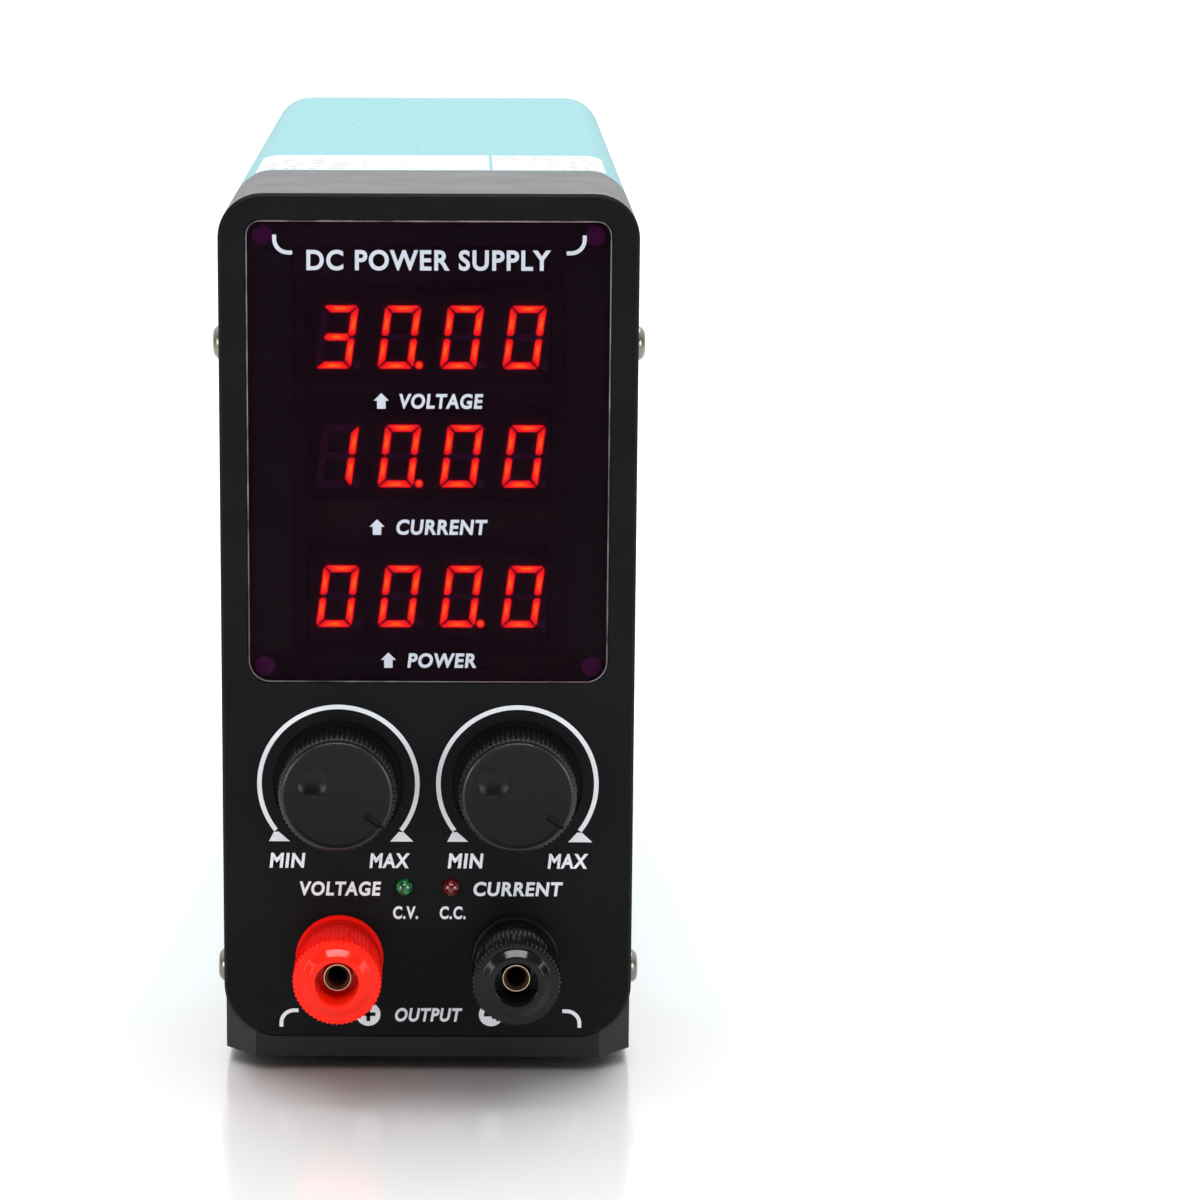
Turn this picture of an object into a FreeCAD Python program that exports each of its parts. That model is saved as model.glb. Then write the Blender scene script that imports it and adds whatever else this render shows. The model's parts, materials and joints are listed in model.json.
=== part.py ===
import FreeCAD, Part
import math
import os
import re

import Sketcher
from FreeCAD import Placement, Rotation, Vector

# Bench power supply: a tall narrow case with a moulded front, two knobs and two binding posts.
# Every piece is drawn in panel coordinates: x from the centre line, y backwards from the front
# face and z up from the surface the feet stand on. Its placement then moves it by face_y, so that
# the origin of the whole part is at the middle of its footprint.

doc = FreeCAD.newDocument("bench_power_supply")
dims = doc.addObject("Spreadsheet::Sheet", "Dims")
subparts = {}

DIMENSIONS = {
    # case
    "case_width": 85.0,
    "case_depth": 253.0,
    "face_y": -118.75,
    "foot_height": 3.0,
    "base_drop": 4.3,
    "bezel_height": 176.8,
    "bezel_depth": 48.5,
    "bezel_wall": 2.5,
    "face_wall": 3.0,
    "bezel_bevel": 0.6,
    "top_corner": 9.0,
    "bottom_corner": 11.5,
    "seam_gap": 0.4,
    "sheet": 1.0,
    "base_floor": 2.0,
    "base_chamfer": 6.5,
    "base_setback": 0.6,
    "base_side": 5.5,
    "cradle_gap": 0.15,
    "foot_x": 26.8,
    "foot_y": 13.5,
    "rear_foot_y": 238.0,
    "foot_radius": 5.0,
    # cover
    "vent_width": 3.0,
    "vent_height": 52.0,
    "vent_bottom": 60.0,
    "vent_y": 120.0,
    "vent_count": 12,
    "vent_run": 88.0,
    "label_thickness": 0.1,
    "label_depth": 34.0,
    "label_setback": 1.2,
    "label_outer_x": 37.4,
    "label_seam_x": 12.85,
    "label_seam": 0.7,
    # chassis and rear panel
    "chassis_side": 39.5,
    "chassis_front": 49.5,
    "chassis_length": 200.0,
    "chassis_wall": 22.0,
    "ear_front": 8.0,
    "ear_depth": 52.0,
    "ear_bottom": 16.0,
    "ear_height": 143.0,
    "rear_thickness": 1.2,
    "rear_gap": 0.1,
    "flange_bottom": 12.0,
    "flange_top": 160.0,
    "flange_depth": 12.8,
    "screw_clearance": 2.2,
    # lens and display
    "lens_width": 74.0,
    "lens_height": 95.3,
    "lens_bottom": 83.5,
    "lens_thickness": 1.5,
    "lens_sink": 0.15,
    "lens_top_corner": 3.1,
    "lens_bottom_corner": 4.6,
    "lens_gap": 0.1,
    "lens_bevel": 0.25,
    "peg_x": 33.6,
    "peg_inset": 3.2,
    "peg_radius": 2.0,
    "peg_length": 2.6,
    "window_width": 56.0,
    "window_height": 85.0,
    "window_bottom": 88.6,
    "window_corner": 2.0,
    "digit_y": 4.0,
    "module_width": 50.3,
    "module_height": 19.0,
    "module_depth": 8.0,
    "voltage_row": 154.6,
    "current_row": 130.15,
    "power_row": 100.9,
    "boss_x": 34.0,
    "boss_low": 96.0,
    "boss_high": 166.0,
    "boss_radius": 3.0,
    "boss_bore": 1.3,
    "display_board_width": 75.0,
    "display_board_bottom": 81.5,
    "display_board_height": 98.0,
    "control_board_width": 72.0,
    "control_board_y": 14.0,
    "control_board_bottom": 34.0,
    "control_board_height": 44.0,
    # controls
    "knob_x": 18.5,
    "knob_z": 62.1,
    "knob_radius": 12.1,
    "knob_front": -11.0,
    "knob_back": -0.2,
    "knob_ribs": 72,
    "knob_well_radius": 13.5,
    "knob_well_depth": 0.8,
    "shaft_radius": 3.0,
    "shaft_front": -9.5,
    "shaft_length": 19.0,
    "bushing_radius": 4.5,
    "pot_radius": 8.5,
    "pot_depth": 9.0,
    "pot_nut_flats": 12.0,
    "pot_nut_height": 2.2,
    "lamp_x": 4.9,
    "lamp_z": 40.0,
    "lamp_radius": 1.8,
    "lamp_flange": 2.4,
    "lamp_leg_x": 1.27,
    # binding posts
    "post_x": 18.3,
    "post_z": 25.3,
    "collar_radius": 9.15,
    "collar_front": -2.8,
    "collar_back": -1.5,
    "collar_foot": 8.5,
    "collar_spigot": 4.95,
    "clamp_radius": 7.0,
    "clamp_thickness": 1.0,
    "post_nut_flats": 10.0,
    "post_nut_height": 4.0,
    "cap_radius": 9.1,
    "cap_front": -20.5,
    "cap_back": -3.86,
    "cap_ribs": 56,
    "cap_rib_length": 9.5,
    "cap_neck": 8.5,
    "cap_mouth": 4.45,
    "stem_radius": 3.0,
    "stem_front": -16.0,
    "stem_back": 16.0,
    "socket_radius": 2.03,
    "socket_depth": 22.0,
    "socket_chamfer": 1.0,
    "thread_gap": 0.05,
    # boards
    "chassis_bottom": 7.3,
    "board_bottom": 14.3,
    "board_thickness": 1.6,
    "board_half": 36.0,
    "board_front": 62.0,
    "board_back": 226.0,
    # side screws
    "side_screw_y": 14.0,
    "rear_screw_y": 243.0,
    "side_screw_low": 18.9,
    "side_screw_high": 152.1,
    "side_head_radius": 3.6,
    "side_head_height": 1.85,
    "side_shank_radius": 1.95,
    "side_shank_length": 4.5,
    # rear fittings
    "fan_z": 134.0,
    "fan_size": 60.0,
    "fan_depth": 20.0,
    "fan_duct": 28.5,
    "fan_pitch": 25.0,
    "fan_hub": 12.0,
    "fan_strut": 3.0,
    "fan_head_radius": 3.4,
    "grille_wire": 0.8,
    "eyelet_radius": 4.0,
    "eyelet_height": 2.9,
    "inlet_z": 48.0,
    "inlet_width": 48.0,
    "inlet_height": 23.0,
    "inlet_flange": 2.2,
    "inlet_screw_x": 20.0,
    "switch_x": 19.0,
    "switch_z": 86.0,
    "rocker_pivot": 250.0,
    "rocker_tilt": 10.0,
    "selector_travel": 5.0,
    "selector_screw_z": 12.0,
    # power parts on the main board
    "core_y": 122.0,
    "core_width": 42.0,
    "core_depth": 16.0,
    "core_window": 9.0,
    "device_width": 15.6,
    "device_height": 20.0,
    "device_x": 26.5,
    "sink_x": 30.5,
}


def fill_sheet():
    for row, (alias, value) in enumerate(DIMENSIONS.items(), start=1):
        dims.set(f"A{row}", alias)
        dims.set(f"B{row}", str(value))
        dims.setAlias(f"B{row}", alias)
    doc.recompute()


def formula(text):
    """A sheet expression, in which each alias gets the sheet's name."""
    found = re.compile(r"[a-z][a-z_0-9]*")
    return found.sub(lambda m: f"Dims.{m.group()}" if m.group() in DIMENSIONS else m.group(), str(text))


def number(name):
    """The value of one cell."""
    return float(dims.get(name))


def bind(obj, **properties):
    for name, text in properties.items():
        obj.setExpression(name, formula(text))


def place(obj, at):
    for axis, text in zip("xyz", at):
        obj.setExpression(f".Placement.Base.{axis}", formula(text))
    return obj


def keep(label, obj, at=("0", "face_y", "0")):
    """Makes obj a sub-part of its own, moved from panel coordinates to the part's frame."""
    obj.Label = label
    subparts[label] = obj
    return place(obj, at)


# Part primitives and booleans

ALONG = {
    "x": Rotation(Vector(0, 1, 0), 90),
    "y": Rotation(Vector(1, 0, 0), -90),
    "z": Rotation(),
}


def box(name, size, at):
    """A box centred on at in x, with its front at y and its bottom at z."""
    solid = doc.addObject("Part::Box", name)
    bind(solid, Length=size[0], Width=size[1], Height=size[2])
    return place(solid, (f"{at[0]} - ({size[0]}) / 2", at[1], at[2]))


def rod(name, radius, length, at, along="y"):
    """A cylinder that starts at a point and runs along an axis."""
    solid = doc.addObject("Part::Cylinder", name)
    solid.Placement = Placement(Vector(), ALONG[along])
    bind(solid, Radius=radius, Height=length)
    return place(solid, at)


def cone(name, start_radius, end_radius, length, at, along="y"):
    solid = doc.addObject("Part::Cone", name)
    solid.Placement = Placement(Vector(), ALONG[along])
    bind(solid, Radius1=start_radius, Radius2=end_radius, Height=length)
    return place(solid, at)


def hexagon(name, across_flats, length, at):
    """A hexagonal prism along y."""
    solid = doc.addObject("Part::Prism", name)
    solid.Polygon = 6
    solid.Placement = Placement(Vector(), ALONG["y"])
    bind(solid, Circumradius=f"({across_flats}) / 2 / cos(30)", Height=length)
    return place(solid, at)


def fused(name, *shapes):
    result = doc.addObject("Part::MultiFuse", name)
    result.Shapes = list(shapes)
    return result


def cut(name, base, *tools):
    result = doc.addObject("Part::Cut", name)
    result.Base = base
    result.Tool = tools[0] if len(tools) == 1 else fused(f"{name}_tools", *tools)
    return result


def group(name, members):
    """Several separate solids in one sub-part."""
    result = doc.addObject("Part::Compound", name)
    result.Links = list(members)
    return result


def ring(name, outer, inner, length, at, along="y"):
    return cut(name, rod("outer", outer, length, at, along), rod("inner", inner, length, at, along))


# PartDesign bodies

def new_body(label, at=("0", "face_y", "0")):
    return keep(label, doc.addObject("PartDesign::Body", label), at)


def datum(body, role):
    return next(f for f in body.Origin.OriginFeatures if f.Role == role)


def sketch(body, role, name, offset="0"):
    """A sketch on one of the body's own origin planes, moved along the plane's normal by offset."""
    drawn = body.newObject("Sketcher::SketchObject", name)
    drawn.AttachmentSupport = [(datum(body, role), "")]
    drawn.MapMode = "FlatFace"
    drawn.setExpression("AttachmentOffset.Base.z", formula(offset))
    return drawn


def fix(drawn, kind, *args):
    """Adds one dimension to a sketch. The last argument is its sheet expression."""
    index = drawn.addConstraint(Sketcher.Constraint(kind, *args[:-1], 1.0))
    drawn.setExpression(f"Constraints[{index}]", formula(args[-1]))


def circle(drawn, radius, x, y):
    index = drawn.addGeometry(Part.Circle(Vector(0, 0, 0), Vector(0, 0, 1), 1.0), False)
    fix(drawn, "Radius", index, radius)
    fix(drawn, "DistanceX", -1, 1, index, 3, x)
    fix(drawn, "DistanceY", -1, 1, index, 3, y)


def circle_pair(drawn, radius, x, y):
    """Two equal circles, mirrored about the centre line."""
    circle(drawn, radius, x, y)
    circle(drawn, radius, f"-({x})", y)


def outline(drawn, points):
    """A closed polygon whose corners are sheet expressions."""
    first = drawn.GeometryCount
    count = len(points)
    spread = [Vector(math.cos(2 * math.pi * i / count), math.sin(2 * math.pi * i / count), 0)
              for i in range(count)]
    for i in range(count):
        drawn.addGeometry(Part.LineSegment(spread[i], spread[(i + 1) % count]), False)
    for i in range(count):
        drawn.addConstraint(Sketcher.Constraint("Coincident", first + i, 2, first + (i + 1) % count, 1))
    for i, (x, y) in enumerate(points):
        fix(drawn, "DistanceX", -1, 1, first + i, 1, x)
        fix(drawn, "DistanceY", -1, 1, first + i, 1, y)


def rectangle(drawn, low_x, high_x, low_y, high_y):
    outline(drawn, [(low_x, low_y), (high_x, low_y), (high_x, high_y), (low_x, high_y)])


def rounded(drawn, width, bottom, height, bottom_radius, top_radius, x="0"):
    """A rounded rectangle centred on x, standing at bottom."""
    first = drawn.GeometryCount
    line = Part.LineSegment
    corner = Part.ArcOfCircle
    up = Vector(0, 0, 1)

    def arc(cx, cy, start):
        round_edge = Part.Circle(Vector(cx, cy, 0), up, 5)
        drawn.addGeometry(corner(round_edge, start, start + math.pi / 2), False)

    drawn.addGeometry(line(Vector(-20, 0, 0), Vector(20, 0, 0)), False)
    arc(20, 5, -math.pi / 2)
    drawn.addGeometry(line(Vector(25, 5, 0), Vector(25, 40, 0)), False)
    arc(20, 40, 0)
    drawn.addGeometry(line(Vector(20, 45, 0), Vector(-20, 45, 0)), False)
    arc(-20, 40, math.pi / 2)
    drawn.addGeometry(line(Vector(-25, 40, 0), Vector(-25, 5, 0)), False)
    arc(-20, 5, math.pi)
    for i in range(8):
        drawn.addConstraint(Sketcher.Constraint("Tangent", first + i, 2, first + (i + 1) % 8, 1))
    for level in (0, 4):
        drawn.addConstraint(Sketcher.Constraint("Horizontal", first + level))
    for side in (2, 6):
        drawn.addConstraint(Sketcher.Constraint("Vertical", first + side))
    for arcs, radius in (((1, 7), bottom_radius), ((3, 5), top_radius)):
        for i in arcs:
            fix(drawn, "Radius", first + i, radius)
    fix(drawn, "DistanceX", first + 6, 1, first + 2, 2, width)
    fix(drawn, "DistanceY", first, 1, first + 4, 1, height)
    fix(drawn, "DistanceX", -1, 1, first + 2, 2, f"{x} + ({width}) / 2")
    fix(drawn, "DistanceY", -1, 1, first, 1, bottom)


def pad(body, drawn, length, reverse=False):
    feature = body.newObject("PartDesign::Pad", "pad")
    feature.Profile = drawn
    feature.Reversed = reverse
    bind(feature, Length=length)
    doc.recompute()
    return feature


def pocket(body, drawn, length=None, reverse=False, both=False):
    """Cuts a sketch out of the body, and stops the build if nothing was removed."""
    before = body.Shape.Volume
    feature = body.newObject("PartDesign::Pocket", "pocket")
    feature.Profile = drawn
    feature.Reversed = reverse
    feature.Midplane = both
    if length is None:
        feature.Type = "ThroughAll"
    else:
        bind(feature, Length=length)
    doc.recompute()
    if not body.Shape.Volume < before - 1e-6:
        raise RuntimeError(f"{body.Label}: a pocket removed nothing")
    return feature


def turned(body, points, role="YZ_Plane", axis="H_Axis"):
    """A solid of revolution. On YZ_Plane each point is (y, radius), about the body's y axis."""
    drawn = sketch(body, role, "profile")
    outline(drawn, points)
    feature = body.newObject("PartDesign::Revolution", "revolution")
    feature.Profile = drawn
    feature.ReferenceAxis = (drawn, [axis])
    feature.Angle = 360
    doc.recompute()
    return feature


def around(body, feature, count):
    """Repeats a feature about the body's y axis."""
    pattern = body.newObject("PartDesign::PolarPattern", "polar_pattern")
    pattern.Originals = [feature]
    pattern.Axis = (datum(body, "Y_Axis"), [""])
    pattern.Angle = 360
    bind(pattern, Occurrences=count)
    body.Tip = pattern
    doc.recompute()


def in_line(body, feature, axis, count, length):
    """Repeats a feature along one of the body's axes, over a length."""
    pattern = body.newObject("PartDesign::LinearPattern", "linear_pattern")
    pattern.Originals = [feature]
    pattern.Direction = (datum(body, axis), [""])
    bind(pattern, Occurrences=count, Length=length)
    body.Tip = pattern
    doc.recompute()


def bevel(body, feature, size, wanted):
    """Chamfers the edges of a feature that wanted() picks."""
    names = [f"Edge{i}" for i, edge in enumerate(feature.Shape.Edges, start=1) if wanted(edge.BoundBox)]
    chamfer = body.newObject("PartDesign::Chamfer", "chamfer")
    chamfer.Base = (feature, names)
    bind(chamfer, Size=size)
    doc.recompute()
    return chamfer


def tube(points, bend, section):
    """A solid swept along straight runs joined by tangent arcs."""
    path = [Vector(*p) for p in points]
    edges = []
    start = path[0]
    for before, corner, after in zip(path, path[1:], path[2:]):
        into = (corner - before).normalize()
        out = (after - corner).normalize()
        turn = into.getAngle(out)
        reach = bend * math.tan(turn / 2)
        first = corner - into * reach
        last = corner + out * reach
        middle = (out - into).normalize()
        centre = corner + middle * (bend / math.cos(turn / 2))
        edges.append(Part.LineSegment(start, first).toShape())
        edges.append(Part.Arc(first, centre - middle * bend, last).toShape())
        start = last
    edges.append(Part.LineSegment(start, path[-1]).toShape())
    return Part.Wire(edges).makePipeShell([section], True, False)


def round_section(start, direction, radius):
    return Part.Wire(Part.Circle(Vector(*start), Vector(*direction), radius).toShape())


# Texts that several sub-parts share
PANEL_BOTTOM = "foot_height + base_drop"
PANEL_TOP = "foot_height + base_drop + bezel_height"
HALF_WIDTH = "case_width / 2"
BOARD_TOP = "board_bottom + board_thickness"
COVER_FRONT = "bezel_depth + seam_gap"
CHASSIS_FLOOR = "chassis_bottom + sheet"
REAR_INSIDE = "case_depth - rear_thickness"
PEG_LEVELS = ("lens_bottom + peg_inset", "lens_bottom + lens_height - peg_inset")


# Case

def front_bezel():
    """Moulded hood: a 3 mm face and a 2.5 mm skirt, open at the back."""
    body = new_body("front_bezel")
    face = sketch(body, "XZ_Plane", "face")
    rounded(face, "case_width", PANEL_BOTTOM, "bezel_height", "bottom_corner", "top_corner")
    block = pad(body, face, "bezel_depth", reverse=True)
    bevel(body, block, "bezel_bevel", lambda box_: box_.YMax < 0.001)
    hollow = sketch(body, "XZ_Plane", "hollow", "-face_wall")
    rounded(hollow, "case_width - 2 * bezel_wall", f"{PANEL_BOTTOM} + bezel_wall",
            "bezel_height - 2 * bezel_wall", "bottom_corner - bezel_wall", "top_corner - bezel_wall")
    pocket(body, hollow)
    recess = sketch(body, "XZ_Plane", "lens_recess")
    rounded(recess, "lens_width + 2 * lens_gap", "lens_bottom - lens_gap", "lens_height + 2 * lens_gap",
            "lens_bottom_corner + lens_gap", "lens_top_corner + lens_gap")
    pocket(body, recess, "lens_sink + lens_thickness")
    openings = sketch(body, "XZ_Plane", "openings")
    rounded(openings, "window_width", "window_bottom", "window_height", "window_corner", "window_corner")
    for z in PEG_LEVELS:
        circle_pair(openings, "peg_radius + thread_gap", "peg_x", z)
    circle_pair(openings, "bushing_radius + 2 * thread_gap", "knob_x", "knob_z")
    circle_pair(openings, "lamp_radius + 2 * thread_gap", "lamp_x", "lamp_z")
    circle_pair(openings, "collar_spigot + thread_gap", "post_x", "post_z")
    pocket(body, openings)
    wells = sketch(body, "XZ_Plane", "knob_wells")
    circle_pair(wells, "knob_well_radius", "knob_x", "knob_z")
    pocket(body, wells, "knob_well_depth")
    bosses = sketch(body, "XZ_Plane", "bosses", "-face_wall")
    for z in ("boss_low", "boss_high"):
        circle_pair(bosses, "boss_radius", "boss_x", z)
        circle_pair(bosses, "boss_bore", "boss_x", z)
    pad(body, bosses, "digit_y + module_depth - face_wall", reverse=True)
    screws = sketch(body, "YZ_Plane", "side_screw_holes")
    for z in ("side_screw_low", "side_screw_high"):
        circle(screws, "screw_clearance", "side_screw_y", z)
    pocket(body, screws, both=True)


def display_lens():
    """Tinted window plate with four round pegs that go through the bezel."""
    body = new_body("display_lens")
    plate = sketch(body, "XZ_Plane", "plate", "-lens_sink")
    rounded(plate, "lens_width", "lens_bottom", "lens_height", "lens_bottom_corner", "lens_top_corner")
    solid = pad(body, plate, "lens_thickness", reverse=True)
    bevel(body, solid, "lens_bevel", lambda box_: box_.YMax < number("lens_sink") + 0.001)
    pegs = sketch(body, "XZ_Plane", "pegs", "-(lens_sink + lens_thickness)")
    for z in PEG_LEVELS:
        circle_pair(pegs, "peg_radius", "peg_x", z)
    pad(body, pegs, "peg_length", reverse=True)


def cover():
    """Painted sheet-metal shell over the top and both sides, behind the bezel."""
    below_ground = 30
    body = new_body("cover")
    shell = sketch(body, "XZ_Plane", "shell", f"-({COVER_FRONT})")
    rounded(shell, "case_width", f"-{below_ground}", f"{PANEL_TOP} + {below_ground}",
            "top_corner", "top_corner")
    rounded(shell, "case_width - 2 * sheet", f"sheet - {below_ground}",
            f"{PANEL_TOP} + {below_ground} - 2 * sheet", "top_corner - sheet", "top_corner - sheet")
    pad(body, shell, f"case_depth - ({COVER_FRONT})", reverse=True)
    below = sketch(body, "YZ_Plane", "open_bottom")
    rectangle(below, "0", "case_depth + 10", f"-{below_ground} - 10", f"{PANEL_BOTTOM} + rear_gap")
    pocket(body, below, both=True)
    screws = sketch(body, "YZ_Plane", "side_screw_holes")
    for z in ("side_screw_low", "side_screw_high"):
        circle(screws, "screw_clearance", "rear_screw_y", z)
    pocket(body, screws, both=True)
    vent = sketch(body, "YZ_Plane", "vent")
    round_end = "vent_width / 2 - thread_gap"
    rounded(vent, "vent_width", "vent_bottom", "vent_height", round_end, round_end, x="vent_y")
    in_line(body, pocket(body, vent, both=True), "Y_Axis", "vent_count", "vent_run")


def base_tray():
    """Black base: a floor with vent slots, a low rim, and corners that cradle the bezel."""
    body = new_body("base_tray")
    plan = sketch(body, "XY_Plane", "plan", "foot_height")
    back_y = "base_setback + base_chamfer"
    outline(plan, [
        (f"base_chamfer - {HALF_WIDTH}", "base_setback"),
        (f"{HALF_WIDTH} - base_chamfer", "base_setback"),
        (HALF_WIDTH, back_y),
        (HALF_WIDTH, "case_depth"),
        (f"-{HALF_WIDTH}", "case_depth"),
        (f"-{HALF_WIDTH}", back_y),
    ])
    pad(body, plan, "base_drop + bottom_corner - 1.9")
    cradle = sketch(body, "XZ_Plane", "cradle")
    rounded(cradle, "case_width + 2 * cradle_gap", PANEL_BOTTOM, "bezel_height",
            "bottom_corner + cradle_gap", "top_corner")
    pocket(body, cradle, "bezel_depth + cradle_gap")
    rear = sketch(body, "XZ_Plane", "rear_rim", "-(bezel_depth + cradle_gap)")
    rectangle(rear, "-case_width", "case_width", PANEL_BOTTOM, "bezel_height")
    pocket(body, rear)
    hollow = sketch(body, "XY_Plane", "hollow", "foot_height + base_floor")
    inside = f"{HALF_WIDTH} - base_side"
    rectangle(hollow, f"-({inside})", inside, "base_setback + 4.4", "case_depth - 3")
    pocket(body, hollow, reverse=True)
    front_slot = sketch(body, "XY_Plane", "front_slot")
    rectangle(front_slot, "-10", "10", "10.0", "12.4")
    in_line(body, pocket(body, front_slot, reverse=True), "Y_Axis", 5, "19.2")
    rear_slot = sketch(body, "XY_Plane", "rear_slot")
    rectangle(rear_slot, "-20", "20", "110", "113")
    in_line(body, pocket(body, rear_slot, reverse=True), "Y_Axis", 11, "80")


def chassis():
    """Steel channel that carries the boards, with two tall front ears for the bezel's screws."""
    floor_size = ("2 * chassis_side", "chassis_length", "sheet")
    wall_size = ("sheet", "chassis_length", "chassis_wall")
    parts = [box("floor", floor_size, ("0", "chassis_front", "chassis_bottom"))]
    for sign in (-1, 1):
        x = f"{sign} * (chassis_side - sheet / 2)"
        parts.append(box("wall", wall_size, (x, "chassis_front", "chassis_bottom")))
        parts.append(box("ear", ("sheet", "ear_depth", "ear_height"), (x, "ear_front", "ear_bottom")))
    air = box("air_opening", (44, "130", "5 * sheet"), ("0", "80", "chassis_bottom - 2 * sheet"))
    holes = [rod("hole", "side_shank_radius + thread_gap", "100", ("-50", y, z), "x") for y, z in (
        ("side_screw_y", "side_screw_low"),
        ("side_screw_y", "side_screw_high"),
        ("rear_screw_y", "side_screw_low"),
    )]
    keep("chassis", cut("chassis", fused("channel", *parts), air, *holes))


def rear_panel():
    """Rear plate with side flanges and the openings for fan, inlet, switch and selector."""
    body = new_body("rear_panel")
    plate = sketch(body, "XZ_Plane", "plate", f"-({REAR_INSIDE})")
    rounded(plate, "case_width - 2 * sheet - 2 * rear_gap", f"{PANEL_BOTTOM} + rear_gap",
            "bezel_height - sheet - 2 * rear_gap", "sheet", "top_corner - sheet - rear_gap")
    pad(body, plate, "rear_thickness", reverse=True)
    flanges = sketch(body, "XZ_Plane", "flanges", f"-({REAR_INSIDE})")
    inner = f"{HALF_WIDTH} - 2 * sheet - rear_gap"
    outer = f"{HALF_WIDTH} - sheet - rear_gap"
    rectangle(flanges, inner, outer, "flange_bottom", "flange_top")
    rectangle(flanges, f"-({outer})", f"-({inner})", "flange_bottom", "flange_top")
    pad(body, flanges, "flange_depth")
    holes = sketch(body, "XZ_Plane", "round_holes")
    circle(holes, "fan_duct", "0", "fan_z")
    for z in ("fan_z - fan_pitch", "fan_z + fan_pitch"):
        circle_pair(holes, "screw_clearance", "fan_pitch", z)
    circle_pair(holes, "1.7", "inlet_screw_x", "inlet_z")
    for z in ("switch_z - selector_screw_z", "switch_z + selector_screw_z"):
        circle(holes, "1.6", "switch_x", z)
    pocket(body, holes)
    cutouts = sketch(body, "XZ_Plane", "cutouts")
    rectangle(cutouts, "-14", "14", "inlet_z - 10.5", "inlet_z + 10.5")
    rectangle(cutouts, "-switch_x - 6.6", "-switch_x + 6.6", "switch_z - 9.8", "switch_z + 9.8")
    rectangle(cutouts, "switch_x - 3", "switch_x + 3", "switch_z - 7.5", "switch_z + 7.5")
    pocket(body, cutouts)
    screws = sketch(body, "YZ_Plane", "side_screw_holes")
    for z in ("side_screw_low", "side_screw_high"):
        circle(screws, "side_shank_radius + thread_gap", "rear_screw_y", z)
    pocket(body, screws, both=True)


def side_screws():
    """Eight pan-head screws: four into the bezel, four into the cover's rear."""
    screws = []
    for sign in (-1, 1):
        for y in ("side_screw_y", "rear_screw_y"):
            for z in ("side_screw_low", "side_screw_high"):
                start = f"{sign} * case_width / 2"
                shank_at = start if sign < 0 else f"{start} - side_shank_length"
                rim = "side_head_height * 0.4"
                rim_at = start if sign > 0 else f"{start} - {rim}"
                dome_at = f"{start} + {rim}" if sign > 0 else f"{start} - side_head_height"
                wide = "side_head_radius"
                narrow = "side_head_radius * 0.62"
                ends = (wide, narrow) if sign > 0 else (narrow, wide)
                screws.append(fused(
                    "side_screw",
                    rod("shank", "side_shank_radius", "side_shank_length", (shank_at, y, z), "x"),
                    rod("rim", wide, rim, (rim_at, y, z), "x"),
                    cone("dome", *ends, "side_head_height * 0.6", (dome_at, y, z), "x"),
                ))
    keep("side_screws", group("side_screws", screws))


def rubber_feet():
    feet = [cone("foot", "foot_radius - 0.4", "foot_radius", "foot_height", (x, y, "0"), "z")
            for x in ("-foot_x", "foot_x") for y in ("foot_y", "rear_foot_y")]
    keep("rubber_feet", group("rubber_feet", feet))


def top_labels():
    """Two thin stickers side by side behind the seam, on the flat top of the cover."""
    top = number("foot_height") + number("base_drop") + number("bezel_height")
    outer = number("label_outer_x")
    seam = number("label_seam_x")
    gap = number("label_seam") / 2
    depth = number("label_depth")
    skin = cover_section(number("label_thickness")).cut(cover_section(0.0))
    sheet = skin.extrude(Vector(0, depth, 0))
    stickers = []
    for start, end in ((-outer, seam - gap), (seam + gap, outer)):
        region = Part.makeBox(end - start, depth, 20, Vector(start, 0, top - 10))
        stickers.append(sheet.common(region).Solids[0])
    labels = doc.addObject("Part::Feature", "top_labels")
    labels.Shape = Part.makeCompound(stickers)
    keep("top_labels", labels, ("0", "face_y + bezel_depth + label_setback", "0"))


def cover_section(grow):
    """The outline of the cover, grown outwards, as a flat face at y = 0."""
    half = number("case_width") / 2 + grow
    top = number("foot_height") + number("base_drop") + number("bezel_height") + grow
    slab = Part.makeBox(2 * half, 1, top, Vector(-half, 0, 0))
    edges = [e for e in slab.Edges if e.BoundBox.ZMin > top - 0.01 and e.BoundBox.YLength > 0.5]
    solid = slab.makeFillet(number("top_corner") + grow, edges)
    return next(f for f in solid.Faces if f.BoundBox.YMax < 0.01)


# Front electronics

def display_board():
    """Upright board behind the lens, screwed to four bosses."""
    plate = box("plate", ("display_board_width", "board_thickness", "display_board_height"),
                ("0", "digit_y + module_depth", "display_board_bottom"))
    holes = [rod("hole", "1.6", "3", (f"{s} * boss_x", "digit_y + module_depth - 0.5", z))
             for s in (-1, 1) for z in ("boss_low", "boss_high")]
    keep("display_board", cut("display_board", plate, *holes))


def display_board_screws():
    screws = []
    back = "digit_y + module_depth + board_thickness"
    for sign in (-1, 1):
        for z in ("boss_low", "boss_high"):
            x = f"{sign} * boss_x"
            screws.append(fused(
                "board_screw",
                rod("head", "2.7", "1.8", (x, back, z)),
                rod("shank", "1.25", "board_thickness + 6", (x, f"{back} - board_thickness - 6", z)),
            ))
    keep("display_board_screws", group("display_board_screws", screws))


def display_module(label, row):
    """One four-digit seven-segment module: a block with a 0.4 mm step round its face."""
    base = box("block", ("module_width", "module_depth - 0.4", "module_height"),
               ("0", "digit_y + 0.4", f"{row} - module_height / 2"))
    front = box("front", ("module_width - 0.8", "0.4", "module_height - 0.8"),
                ("0", "digit_y", f"{row} - module_height / 2 + 0.4"))
    keep(label, fused(label, base, front))


def control_board():
    plate = box("plate", ("control_board_width", "board_thickness", "control_board_height"),
                ("0", "control_board_y", "control_board_bottom"))
    keep("control_board", group("control_board", [plate]))


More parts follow.
